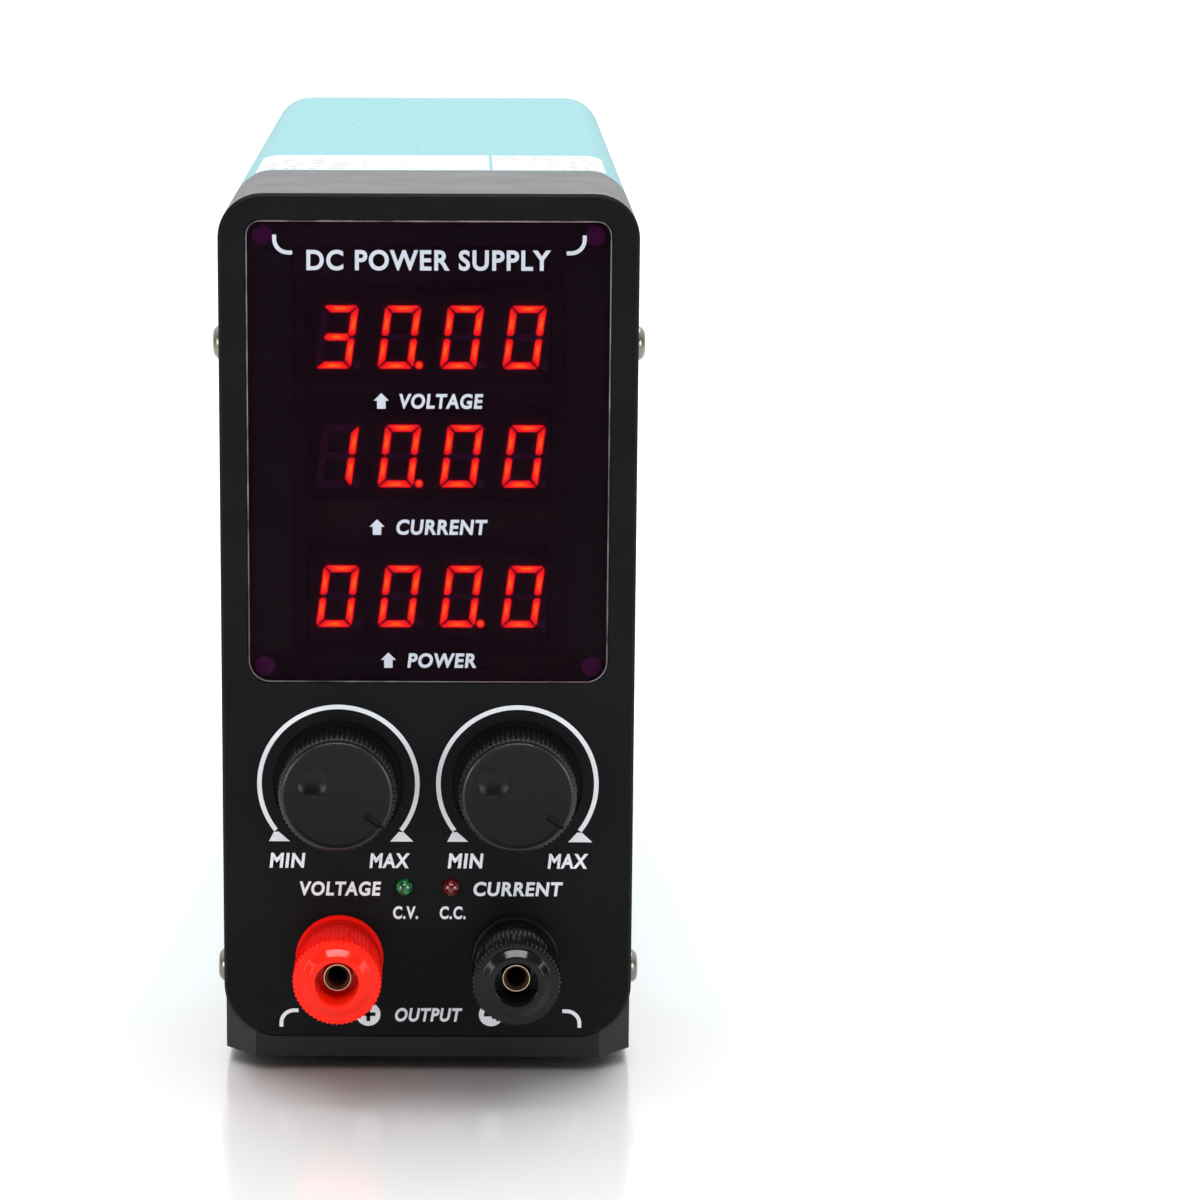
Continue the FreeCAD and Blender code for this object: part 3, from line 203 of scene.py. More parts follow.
def carve(obj, *cutters):
    """Cuts closed meshes out of a piece and keeps what is left as its mesh."""
    for cutter in cutters:
        modifier = obj.modifiers.new("cut", "BOOLEAN")
        modifier.operation = "DIFFERENCE"
        modifier.solver = "EXACT"
        modifier.object = cutter
    graph = bpy.context.evaluated_depsgraph_get()
    obj.data = bpy.data.meshes.new_from_object(obj.evaluated_get(graph))
    obj.modifiers.clear()
    for cutter in cutters:
        bpy.data.objects.remove(cutter)
    return obj


def piece(obj, body, slot, *nodes):
    """Rides on a body and stands for CAD nodes, which it hides. slot is not used."""
    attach(obj, body)
    if nodes:
        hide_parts(*nodes)
    return obj


# Procedural materials

WAVE = 3.18     # one band of the wave texture is 1 / 3.18 of its unit

def srgb(red, green, blue):
    """A display colour, 0 to 255, as linear light."""
    return tuple((c / 255 / 12.92) if c < 11 else ((c / 255 + 0.055) / 1.055) ** 2.4
                 for c in (red, green, blue))


class Look:
    """A procedural material, built up layer by layer round one Principled shader."""

    def __init__(self, name, colour, roughness, **sockets):
        self.material = bpy.data.materials.new(name)
        self.material.use_nodes = True
        self.nodes = self.material.node_tree.nodes
        self.links = self.material.node_tree.links
        self.shader = self.nodes["Principled BSDF"]
        self.shader.inputs["Base Color"].default_value = (*colour, 1)
        self.shader.inputs["Roughness"].default_value = roughness
        for label, value in sockets.items():
            self.shader.inputs[label.replace("_", " ")].default_value = value
        self.colour = None
        self.normal = None
        self.place = self.nodes.new("ShaderNodeTexCoord").outputs["Object"]

    def texture(self, kind, size, stretch=(1, 1, 1), **settings):
        """A texture whose features are about size millimetres across."""
        mapping = self.nodes.new("ShaderNodeMapping")
        mapping.inputs["Scale"].default_value = [s / (size * MM) for s in stretch]
        self.links.new(self.place, mapping.inputs["Vector"])
        node = self.nodes.new(f"ShaderNodeTex{kind}")
        self.links.new(mapping.outputs["Vector"], node.inputs["Vector"])
        node.inputs["Scale"].default_value = 1
        for label, value in settings.items():
            socket = label.replace("_", " ")
            if socket in node.inputs:
                node.inputs[socket].default_value = value
            else:
                setattr(node, label, value)
        return node.outputs["Fac"] if "Fac" in node.outputs else node.outputs["Distance"]

    def spread(self, source, low, high, start=0.3, end=0.7):
        """source, taken from its own start to end and given out from low to high."""
        node = self.nodes.new("ShaderNodeMapRange")
        self.links.new(source, node.inputs["Value"])
        for label, value in (("From Min", start), ("From Max", end), ("To Min", low), ("To Max", high)):
            node.inputs[label].default_value = value
        return node.outputs["Result"]

    def tint(self, source, colour, low=0.0, high=1.0, start=0.3, end=0.7):
        """Paints another colour over the base where source is high."""
        node = self.nodes.new("ShaderNodeMix")
        node.data_type = "RGBA"
        self.links.new(self.spread(source, low, high, start, end), node.inputs["Factor"])
        base = node.inputs[6]
        if self.colour:
            self.links.new(self.colour, base)
        else:
            base.default_value = self.shader.inputs["Base Color"].default_value
        node.inputs[7].default_value = (*colour, 1)
        self.colour = node.outputs[2]
        self.links.new(self.colour, self.shader.inputs["Base Color"])
        return self

    def edge_shine(self, low, high):
        """Reflects more where the surface is seen at a shallow angle."""
        weight = self.nodes.new("ShaderNodeLayerWeight")
        weight.inputs["Blend"].default_value = 0.5
        shine = self.spread(weight.outputs["Facing"], low, high, 0.7, 0.9)
        self.links.new(shine, self.shader.inputs["Specular IOR Level"])
        return self

    def product(self, first, second):
        node = self.nodes.new("ShaderNodeMath")
        node.operation = "MULTIPLY"
        self.links.new(first, node.inputs[0])
        self.links.new(second, node.inputs[1])
        return node.outputs["Value"]

    def gloss(self, source, low, high):
        """Lets the roughness wander between low and high."""
        self.links.new(self.spread(source, low, high), self.shader.inputs["Roughness"])
        return self

    def bump(self, source, height):
        """Raises the surface by up to height millimetres where source is high."""
        node = self.nodes.new("ShaderNodeBump")
        node.inputs["Distance"].default_value = height * MM
        self.links.new(source, node.inputs["Height"])
        if self.normal:
            self.links.new(self.normal, node.inputs["Normal"])
        self.normal = node.outputs["Normal"]
        self.links.new(self.normal, self.shader.inputs["Normal"])
        return self

    def glow(self, attribute, stops, strength):
        """Emits a colour read off a ramp by a vertex attribute."""
        source = self.nodes.new("ShaderNodeAttribute")
        source.attribute_name = attribute
        ramp = self.nodes.new("ShaderNodeValToRGB")
        while len(ramp.color_ramp.elements) < len(stops):
            ramp.color_ramp.elements.new(0.5)
        for element, (position, colour) in zip(ramp.color_ramp.elements, stops):
            element.position = position
            element.color = (*colour, 1)
        self.links.new(source.outputs["Fac"], ramp.inputs["Fac"])
        self.links.new(ramp.outputs["Color"], self.shader.inputs["Emission Color"])
        self.shader.inputs["Emission Strength"].default_value = strength
        return self


def moulded(name, colour, roughness, grain=0.45, relief=0.02, specular=0.5, edge=None, **sockets):
    """Moulded plastic: a fine eroded grain, slow tone changes and uneven gloss."""
    look = Look(name, colour, roughness, Specular_IOR_Level=specular, **sockets)
    if edge:
        look.edge_shine(specular, edge)
    lighter = tuple(min(c * 1.35 + 0.002, 1) for c in colour)
    slow = look.texture("Noise", 14, Detail=3)
    fine = look.texture("Noise", grain, Detail=2)
    look.tint(slow, lighter, 0, 0.5).tint(fine, lighter, 0, 0.35)
    look.gloss(slow, roughness - 0.05, roughness + 0.06)
    return look.bump(fine, relief).material


def metal(name, colour, roughness, stretch=(1, 1, 1), relief=0.006):
    """Bare metal with fine lines along its shortest stretch, and faint cloudiness."""
    look = Look(name, colour, roughness, Metallic=1.0)
    darker = tuple(c * 0.72 for c in colour)
    lines = look.texture("Noise", 0.5, stretch, Detail=4)
    clouds = look.texture("Noise", 9, Detail=2)
    look.tint(lines, darker, 0, 0.5).tint(clouds, darker, 0, 0.35)
    look.gloss(clouds, roughness - 0.06, roughness + 0.08)
    return look.bump(lines, relief).material


def powder_coat(name, colour, roughness, relief=0.03, edge=0.6):
    """Powder coat: a soft orange peel with a fine speckle."""
    look = Look(name, colour, roughness, Coat_Weight=0.25, Coat_Roughness=0.25)
    look.edge_shine(0.5, edge)
    deeper = tuple(c * 0.86 for c in colour)
    peel = look.texture("Noise", 1.6, Detail=1)
    speckle = look.texture("Noise", 0.35, Detail=2)
    slow = look.texture("Noise", 35, Detail=2)
    look.tint(slow, deeper, 0, 0.35).tint(speckle, deeper, 0, 0.3)
    look.gloss(peel, roughness - 0.05, roughness + 0.07)
    return look.bump(peel, relief).bump(speckle, relief / 4).material


def striped(name, colour, line_colour, size, axis, roughness, **sockets):
    """Even stripes, for tape turns, ribbon conductors and wound wire."""
    look = Look(name, colour, roughness, **sockets)
    bands = look.texture("Wave", size * WAVE, bands_direction=axis, Distortion=0.4, Detail=1)
    slow = look.texture("Noise", 8, Detail=2)
    look.tint(bands, line_colour, 0, 0.8, 0.6, 0.9).tint(slow, line_colour, 0, 0.25)
    return look.bump(bands, 0.08).material


def label_look():
    """White sticker with broken rows of pale grey, like very small wording."""
    look = Look("label_paper_look", srgb(206, 208, 210), 0.6, Specular_IOR_Level=0.2)
    rows = look.spread(look.texture("Wave", 4.6 * WAVE, bands_direction="Y"), 0, 1, 0.72, 0.84)
    words = look.spread(look.texture("Noise", 2.6, (1, 0.15, 1), Detail=3), 0, 1, 0.46, 0.52)
    return look.tint(look.product(rows, words), srgb(128, 125, 130), 0, 1, 0, 1).material


def board_look(name, mask, trace):
    """Solder mask over straight copper traces, with tinned pads."""
    look = Look(name, mask, 0.35, Coat_Weight=0.5, Coat_Roughness=0.1)
    traces = look.texture("Brick", 5.5, Mortar_Size=0.05, Brick_Width=1.3, Row_Height=0.45)
    pads = look.texture("Voronoi", 4.2, Randomness=0.35)
    look.tint(traces, trace, 0, 0.8)
    look.tint(pads, srgb(196, 190, 170), 0.9, 0, 0.12, 0.16)
    return look.bump(traces, 0.03).material


def lamp_look(name, deep, bright):
    """An unlit coloured LED: clear epoxy over its reflector. The reflector's facets and a fine sparkle are
    painted into the colour as lighter patches, which is painted reflection.
    """
    look = Look(name, deep, 0.12, Coat_Weight=1.0, Coat_Roughness=0.03, Subsurface_Weight=0.2)
    # The lighter facet patches and the sparkle are painted reflection of the reflector cup.
    facets = look.texture("Voronoi", 1.3, Randomness=0.8)
    sparkle = look.texture("Noise", 0.6, Detail=2)
    look.tint(facets, bright, 0.9, 0, 0.15, 0.6).tint(sparkle, bright, 0, 0.5, 0.5, 0.75)
    return look.material


def lens_look():
    """Smoked purple acrylic that lets about a quarter of the light through both of its faces."""
    look = Look("lens_look", srgb(20, 6, 16), 0.09, Specular_IOR_Level=0.03, Alpha=0.55)
    haze = look.texture("Noise", 25, Detail=2)
    look.tint(haze, srgb(25, 9, 20), 0, 0.8)
    look.gloss(haze, 0.07, 0.12)
    return look.material


def lens_edge_highlight_look():
    """Painted highlight on the lens's polished edge: a light grey colour, broken by darker noise, stands for
    the light the edge catches.
    """
    look = Look("lens_edge_highlight_look", srgb(140, 130, 136), 0.25)
    return look.tint(look.texture("Noise", 6, Detail=3), srgb(58, 46, 54), 0, 1).material


def segment_look():
    """Lit segments: orange at the chip, deep red towards the outline."""
    look = Look("lit_segment_look", srgb(120, 10, 10), 0.5)
    look.glow("core", [(0.0, (0.55, 0.002, 0.005)), (0.25, (0.95, 0.006, 0.01)),
                       (0.55, (1.0, 0.04, 0.008)), (1.0, (1.0, 0.16, 0.01))], 4.9)
    return look.material


def display_face_look():
    """Dark epoxy face with red light spilling round the lit segments."""
    look = Look("display_face_look", srgb(18, 12, 16), 0.5, Specular_IOR_Level=0.1)
    look.tint(look.texture("Noise", 5, Detail=2), srgb(24, 16, 22), 0, 0.6)
    look.glow("glow", [(0.0, (0.0, 0.0, 0.0)), (0.2, (0.1, 0.0, 0.002)), (0.6, (0.45, 0.002, 0.008)),
                       (1.0, (1.0, 0.006, 0.012))], 0.24)
    return look.material


def dim_segment_look():
    look = Look("dim_segment_look", srgb(118, 36, 108), 0.5, Specular_IOR_Level=0.1)
    return look.tint(look.texture("Noise", 1.2), srgb(92, 28, 86), 0, 0.7).material


def peg_look():
    look = Look("peg_look", srgb(214, 60, 200), 0.5, Specular_IOR_Level=0.1)
    return look.tint(look.texture("Noise", 2.4), srgb(150, 40, 140), 0, 0.8).material


LOOKS = {
    "bezel_plastic": moulded("bezel_plastic_look", srgb(17, 17, 19), 0.4, specular=0.085, edge=1.0),
    "base_plastic": moulded("base_plastic_look", srgb(20, 20, 22), 0.42, specular=0.36, edge=0.9),
    "lens_tint": lens_look(),
    "cover_paint": powder_coat("cover_paint_look", srgb(60, 154, 162), 0.42, edge=0.95),
    "zinc_steel": metal("zinc_steel_look", srgb(196, 198, 202), 0.36, (1, 0.05, 1)),
    "black_steel": powder_coat("black_steel_look", srgb(34, 34, 36), 0.5, 0.04),
    "nickel_screw": metal("nickel_screw_look", srgb(146, 140, 132), 0.26),
    "foot_rubber": moulded("foot_rubber_look", srgb(26, 26, 26), 0.85, grain=0.9, relief=0.05, specular=0.2),
    "label_paper": label_look(),
    "circuit_board": board_look("circuit_board_look", srgb(16, 78, 42), srgb(38, 120, 66)),
    "display_face": display_face_look(),
    "knob_plastic": moulded("knob_plastic_look", srgb(12, 12, 14), 0.28, grain=0.3, relief=0.004,
                            specular=0.2),
    "red_plastic": moulded("red_plastic_look", srgb(250, 31, 8), 0.13, grain=0.7, relief=0.0015,
                           specular=0.22),
    "black_gloss": moulded("black_gloss_look", srgb(13, 13, 15), 0.13, grain=0.7, relief=0.0015,
                           specular=0.26),
    "brass": metal("brass_look", srgb(222, 206, 170), 0.22, (1, 0.1, 1)),
    "copper_wire": striped("copper_wire_look", srgb(186, 96, 44), srgb(120, 52, 22), 0.9, "Z", 0.3,
                           Metallic=0.9),
    "coil_tape": striped("coil_tape_look", srgb(214, 178, 48), srgb(150, 116, 24), 5, "Z", 0.45),
    "ferrite": moulded("ferrite_look", srgb(62, 62, 64), 0.6, grain=0.8, relief=0.03),
    "heatsink_aluminium": metal("heatsink_look", srgb(206, 208, 210), 0.34, (1, 1, 0.04)),
    "can_sleeve": striped("can_sleeve_look", srgb(22, 28, 46), srgb(150, 156, 168), 40, "X", 0.3),
    "device_epoxy": moulded("device_epoxy_look", srgb(28, 28, 28), 0.6, grain=0.4, relief=0.02),
    "lamp_green": lamp_look("lamp_green_look", srgb(8, 62, 28), srgb(48, 150, 84)),
    "lamp_red": lamp_look("lamp_red_look", srgb(88, 2, 5), srgb(126, 18, 20)),
    "ribbon_grey": striped("ribbon_look", srgb(138, 140, 144), srgb(92, 94, 98), 1.27, "X", 0.5),
    "wire_red": moulded("wire_red_look", srgb(200, 24, 18), 0.35, relief=0.005),
    "wire_black": moulded("wire_black_look", srgb(20, 20, 20), 0.35, relief=0.005),
    "fan_plastic": moulded("fan_plastic_look", srgb(28, 28, 30), 0.5, grain=0.6),
    "fitting_plastic": moulded("fitting_plastic_look", srgb(24, 24, 25), 0.4, grain=0.5, relief=0.01),
}
INK = moulded("ink_look", srgb(222, 227, 238), 0.55, grain=0.5, relief=0.004, specular=0.3)
LENS_INK = moulded("lens_ink_look", srgb(184, 190, 201), 0.55, grain=0.5, relief=0.004, specular=0.3)
LENS_EDGE_HIGHLIGHT = lens_edge_highlight_look()
SOCKET_SHADE = moulded("socket_shade_look", srgb(88, 62, 46), 0.4, relief=0.004, specular=0.3)
BLACK_BOARD = board_look("black_board_look", srgb(20, 13, 18), srgb(27, 19, 24))
PEG = peg_look()
KNOB_RIM = moulded("knob_rim_look", srgb(12, 12, 14), 0.32, grain=0.3, relief=0.004, specular=0.52)
# Side looks for the posts. The red one is a darker red, which is painted shade, with lower specular and more
# roughness. The black post keeps its one look.
POST_SIDES = {
    "red_plastic": moulded("red_side_shade_look", srgb(238, 18, 9), 0.24, grain=0.7, relief=0.0015, specular=0.09),
    "black_gloss": LOOKS["black_gloss"],
}
LIT = segment_look()
UNLIT = dim_segment_look()


def dress_frame():
    """Gives every CAD node the procedural material of its slot."""
    for row in frame["record"]["subparts"]:
        look = BLACK_BOARD if row["node"] == "display_board" else LOOKS[row["material_slot"]]
        for holder in frame["nodes"][row["node"]].material_slots:
            holder.material = look


# Screen printing

PRINT = 0.03    # thickness of the ink, in millimetres


def add_words(bm, place, words, left, right, low, high, slant=0.12, weight=0.034):
    """Bold capitals, leaned by slant and stretched to fill a rectangle."""
    curve = bpy.data.curves.new("words", "FONT")
    curve.body = words
    curve.shear = slant
    curve.offset = weight
    curve.space_character = 1.12
    curve.extrude = 0.5
    curve.resolution_u = 5
    holder = link(bpy.data.objects.new("words", curve))
    bpy.context.view_layer.update()
    graph = bpy.context.evaluated_depsgraph_get()
    mesh = bpy.data.meshes.new_from_object(holder.evaluated_get(graph))
    points = np.array([v.co for v in mesh.vertices])
    near, far = points.min(0), points.max(0)
    fit = ((right - left) / (far[0] - near[0]), (high - low) / (far[1] - near[1]), PRINT)
    mesh.transform(place @ Matrix.Translation((left, low, 0)) @ Matrix.Diagonal((*fit, 1))
                   @ Matrix.Translation((-near[0], -near[1], 0.5)))
    bm.from_mesh(mesh)
    bpy.data.meshes.remove(mesh)
    bpy.data.objects.remove(holder)
    bpy.data.curves.remove(curve)


def add_print(bm, outline, place=PANEL):
    add_prism(bm, place, outline, 0, PRINT)


def add_arrow(bm, left, low, place, width=3.1, height=3.2):
    """An upright arrow with a square stem."""
    centre, stem, neck = left + width / 2, width * 0.28, low + height * 0.52
    add_print(bm, [
        (centre - stem, low), (centre + stem, low), (centre + stem, neck), (left + width, neck),
        (centre, low + height), (left, neck), (centre - stem, neck),
    ], place)


def add_corner(bm, x, y, turn_x, turn_y, place=PANEL, size=3.6, radius=2.7):
    """A quarter-round mark: turn_x and turn_y say which way its two arms run."""
    line_width = 0.8
    bend = [(x + turn_x * (radius - px), y + turn_y * (radius - py))
            for px, py in arc(0, 0, radius, 0, 90, 8)]
    arms = [(x, y + turn_y * size)] + bend + [(x + turn_x * size, y)]
    add_print(bm, stroke(arms, line_width), place)


def panel_print():
    """White legends on the bezel: two dials, the names and the polarity discs."""
    ring_radius, ring_width = 16.33, 0.95
    arrow_low, arrow_high, arrow_tip = -12.3, -10.25, 0.5
    end_low, end_high = -18.0, -14.8
    name_low, name_high = 30.8, 33.9
    lamp_low, lamp_high = 25.8, 28.6
    disc_y, disc_radius, plus_x, minus_x = 5.1, 2.55, -12.4, 13.3
    bm = bmesh.new()
    for node, low_arrow, high_arrow in (
        ("voltage_knob", (-14.4, -10.1, -12.9), (10.7, 15.5, 12.95)),
        ("current_knob", (-14.5, -10.1, -12.9), (10.6, 15.6, 12.95)),
    ):
        place = on_panel(node)
        add_print(bm, stroke(arc(0, 0, ring_radius, 217.4, -37.4, 120), ring_width), place)
        for left, right, apex in (low_arrow, high_arrow):
            add_print(bm, [(left, arrow_low), (right, arrow_low),
                           (apex + arrow_tip, arrow_high), (apex - arrow_tip, arrow_high)], place)
        add_words(bm, place, "MIN", -14.35, -6.9, end_low, end_high)
        add_words(bm, place, "MAX", 6.4, 14.8, end_low, end_high)
    add_words(bm, PANEL, "VOLTAGE", -26.6, -9.7, name_low, name_high)
    add_words(bm, PANEL, "CURRENT", 9.5, 28.1, name_low, name_high)
    add_words(bm, PANEL, "C.V.", -7.2, -2.0, lamp_low, lamp_high, slant=0.06)
    add_words(bm, PANEL, "C.C.", 2.5, 7.9, lamp_low, lamp_high, slant=0.06)
    add_words(bm, PANEL, "OUTPUT", -6.8, 7.3, 3.5, 6.5, slant=0.2)
    add_corner(bm, -30.6, 5.9, 1, -1)
    add_corner(bm, 31.8, 5.9, -1, -1)
    for x in (plus_x, minus_x):
        add_print(bm, arc(x, disc_y, disc_radius, 0, 350, 35))
    piece(make("panel_print", bm, INK), "case", "label_paper")

    long, thin = 1.5, 0.4
    signs = bmesh.new()
    for x, half_x, half_y in ((plus_x, long, thin), (plus_x, thin, long), (minus_x, long, thin)):
        add_box(signs, PANEL, (x - half_x, disc_y - half_y, PRINT), (x + half_x, disc_y + half_y, 2 * PRINT))
    piece(make("polarity_signs", signs, LOOKS["bezel_plastic"]), "case", "bezel_plastic")


def lens_print():
    """White legends on the lens: the title, the three row names and two corner marks."""
    bm = bmesh.new()
    place = local((0, LENS_LOW.y, BEZEL_LOW.z))
    add_words(bm, place, "DC POWER SUPPLY", -24.6, 24.6, 161.3, 165.5, slant=0.0, weight=0.028)
    for words, arrow, left, right, low, high in (
        ("VOLTAGE", -11.1, -5.9, 11.1, 133.2, 136.3),
        ("CURRENT", -12.0, -6.5, 12.1, 107.2, 110.4),
        ("POWER", -9.7, -4.25, 9.9, 79.4, 82.5),
    ):
        add_arrow(bm, arrow, low, place)
        add_words(bm, place, words, left, right, low, high)
    add_corner(bm, -31.05, 164.9, 1, 1, place)
    add_corner(bm, 31.35, 164.9, -1, 1, place)
    piece(make("lens_print", bm, LENS_INK), "case", "label_paper")


# Readout

DIGIT_WIDTH, DIGIT_HEIGHT, STROKE, GAP = 7.4, 13.0, 1.5, 0.25
DIGIT_PITCH, FIRST_DIGIT = 12.7, -23.2
SLANT = math.tan(math.radians(7.5))
LIT_SEGMENTS = {"0": "abcdef", "1": "bc", "3": "abcdg"}


def segment_outlines():
    """The seven segments of one upright digit, by their usual letters."""
    w, h, t, g = DIGIT_WIDTH, DIGIT_HEIGHT, STROKE, GAP
    m = h / 2
    top = [(0.42, h - 0.3), (0.68, h), (w - 0.68, h), (w - 0.42, h - 0.3), (w - t - g, h - t), (t + g, h - t)]
    upper_left = [(0.3, h - 0.44), (0, h - 0.75), (0, m + 0.6), (t * 0.3, m + g), (t * 0.62, m + g),
                  (t, m + 0.65), (t, h - t - g)]
    centre = [(0.95, m), (1.65, m + t / 2), (w - 1.65, m + t / 2), (w - 0.95, m),
              (w - 1.65, m - t / 2), (1.65, m - t / 2)]
    flip_x = lambda outline: [(w - x, y) for x, y in outline]
    flip_y = lambda outline: [(x, h - y) for x, y in outline]
    return {"a": top, "b": flip_x(upper_left), "c": flip_x(flip_y(upper_left)), "d": flip_y(top),
            "e": flip_y(upper_left), "f": upper_left, "g": centre}


def slanted(outline, left):
    """A digit's outline leaned over and put in its row, about the row's middle line."""
    return [(left + x + y * SLANT, y - DIGIT_HEIGHT / 2) for x, y in outline]


def readout_outlines(digits, point_after):
    """The outlines of one row's lit and unlit segments."""
    lit, unlit = [], []
    for index, digit in enumerate(digits):
        left = FIRST_DIGIT + index * DIGIT_PITCH
        for letter, outline in segment_outlines().items():
            (lit if letter in LIT_SEGMENTS[digit] else unlit).append(slanted(outline, left))
        dot = arc(left + 8.55, 0.8 - DIGIT_HEIGHT / 2, 0.88, 0, 340, 17)
        (lit if index == point_after else unlit).append(dot)
    return lit, unlit


def add_segment(bm, place, outline, core):
    """A low tile whose vertices carry how near they are to the chip in its middle."""
    cx = sum(x for x, _ in outline) / len(outline)
    cy = sum(y for _, y in outline) / len(outline)
    shares = (1.0, 1.0, 0.8, 0.6, 0.4, 0.2)
    heights = (-0.02, 0.05, 0.05, 0.05, 0.05, 0.05)
    rings = []
    for share, height in zip(shares, heights):
        ring = ring_of(bm, place, [(cx + (x - cx) * share, cy + (y - cy) * share, height)
                                   for x, y in outline])
        for vertex in ring:
            vertex[core] = 1 - share
        rings.append(ring)
    chip = bm.verts.new(place @ Vector((cx, cy, heights[-1])))
    chip[core] = 1
    bm.faces.new(rings[0][::-1])
    for first, second in zip(rings, rings[1:] + [[chip]]):
        bridge(bm, first, second)


def distance_to(points, outlines):
    """The distance from each point to the nearest outline, in millimetres."""
    nearest = np.full(len(points), 1e9)
    for outline in outlines:
        ends = np.array(outline)
        for start, end in zip(ends, np.roll(ends, -1, axis=0)):
            run = end - start
            along = np.clip((points - start) @ run / (run @ run), 0, 1)
            nearest = np.minimum(nearest, np.linalg.norm(points - start - along[:, None] * run, axis=1))
    return nearest


def display_block(name, place, size, lit):
    """The module's block. Its face is a fine grid that carries the light spilt by lit segments."""
    width, height, depth = size
    columns, rows, step, spill = 150, 56, 0.4, 0.45
    xs = np.linspace(step - width / 2, width / 2 - step, columns)
    ys = np.linspace(step - height / 2, height / 2 - step, rows)
    points = np.array([(x, y) for y in ys for x in xs])
    strength = np.exp(-distance_to(points, lit) / spill)
    bm = bmesh.new()
    glow = bm.verts.layers.float.new("glow")
    grid = ring_of(bm, place, [(x, y, 0) for x, y in points])
    for vertex, value in zip(grid, strength):
        vertex[glow] = value
    at = lambda row, column: grid[row * columns + column]
    for row in range(rows - 1):
        for column in range(columns - 1):
            bm.faces.new((at(row, column), at(row, column + 1), at(row + 1, column + 1), at(row + 1, column)))
    rim = ([at(0, c) for c in range(columns)]
           + [at(r, columns - 1) for r in range(1, rows)]
           + [at(rows - 1, c) for c in range(columns - 2, -1, -1)]
           + [at(r, 0) for r in range(rows - 2, 0, -1)])
    flat = [place.inverted() @ v.co for v in rim]
    grow_x, grow_y = width / (width - 2 * step), height / (height - 2 * step)
    front = ring_of(bm, place, [(p.x * grow_x, p.y * grow_y, -step) for p in flat])
    back = ring_of(bm, place, [(p.x * grow_x, p.y * grow_y, -depth) for p in flat])
    bridge(bm, rim, front)
    bridge(bm, front, back)
    bm.faces.new(back)
    piece(make(f"{name}_block", bm, LOOKS["display_face"]), "case", "display_face", name)


def readout(node, digits, point_after):
    low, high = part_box(node)
    place = local(((low.x + high.x) / 2, low.y, (low.z + high.z) / 2))
    size = [(high[i] - low[i]) / MM for i in (0, 2, 1)]
    lit, unlit = readout_outlines(digits, point_after)
    display_block(node, place, size, lit)
    for label, outlines, look in (("lit", lit, LIT), ("unlit", unlit, UNLIT)):
        bm = bmesh.new()
        core = bm.verts.layers.float.new("core")
        for outline in outlines:
            add_segment(bm, place, outline, core)
        piece(make(f"{node}_{label}_segments", bm, look, 60), "case", "display_face")


def lens():
    """The window plate with polished round edges, and its four pegs."""
    width, height = (LENS_HIGH.x - LENS_LOW.x) / MM, (LENS_HIGH.z - LENS_LOW.z) / MM
    thickness, peg_length, peg_radius, peg_x, peg_inset = 1.5, 2.6, 2.0, 33.6, 3.2
    place = local((0, LENS_LOW.y, LENS_LOW.z))
    bm = bmesh.new()
    add_layers(bm, place, rounded(width, height, 4.6, 3.1, 14),
               [(-thickness, 0), (-0.4, 0), (-0.22, 0.05), (-0.08, 0.17), (0, 0.4)])
    plate = make("lens_plate", bm, LOOKS["lens_tint"], 40)
    plate.data.materials.append(LENS_EDGE_HIGHLIGHT)
    # The bevel faces take the light grey lens edge colour, a painted highlight.
    bevel_start = LENS_LOW.y + 0.21 * MM
    for face in plate.data.polygons:
        face.material_index = int(abs(face.normal.y) < 0.99 and face.center.y < bevel_start)
    piece(plate, "case", "lens_tint", "display_lens")
    pegs = bmesh.new()
    for x in (-peg_x, peg_x):
        for y in (peg_inset, height - peg_inset):
            spot = place @ Matrix.Translation((x, y, -thickness - 0.01))
            add_lathe(pegs, spot, [(0, 0), (0, peg_radius), (0.2 - peg_length, peg_radius),
                                   (-peg_length, peg_radius - 0.2), (-peg_length, 0)], 40)
    piece(make("lens_pegs", pegs, PEG), "case", "lens_tint")


# Controls

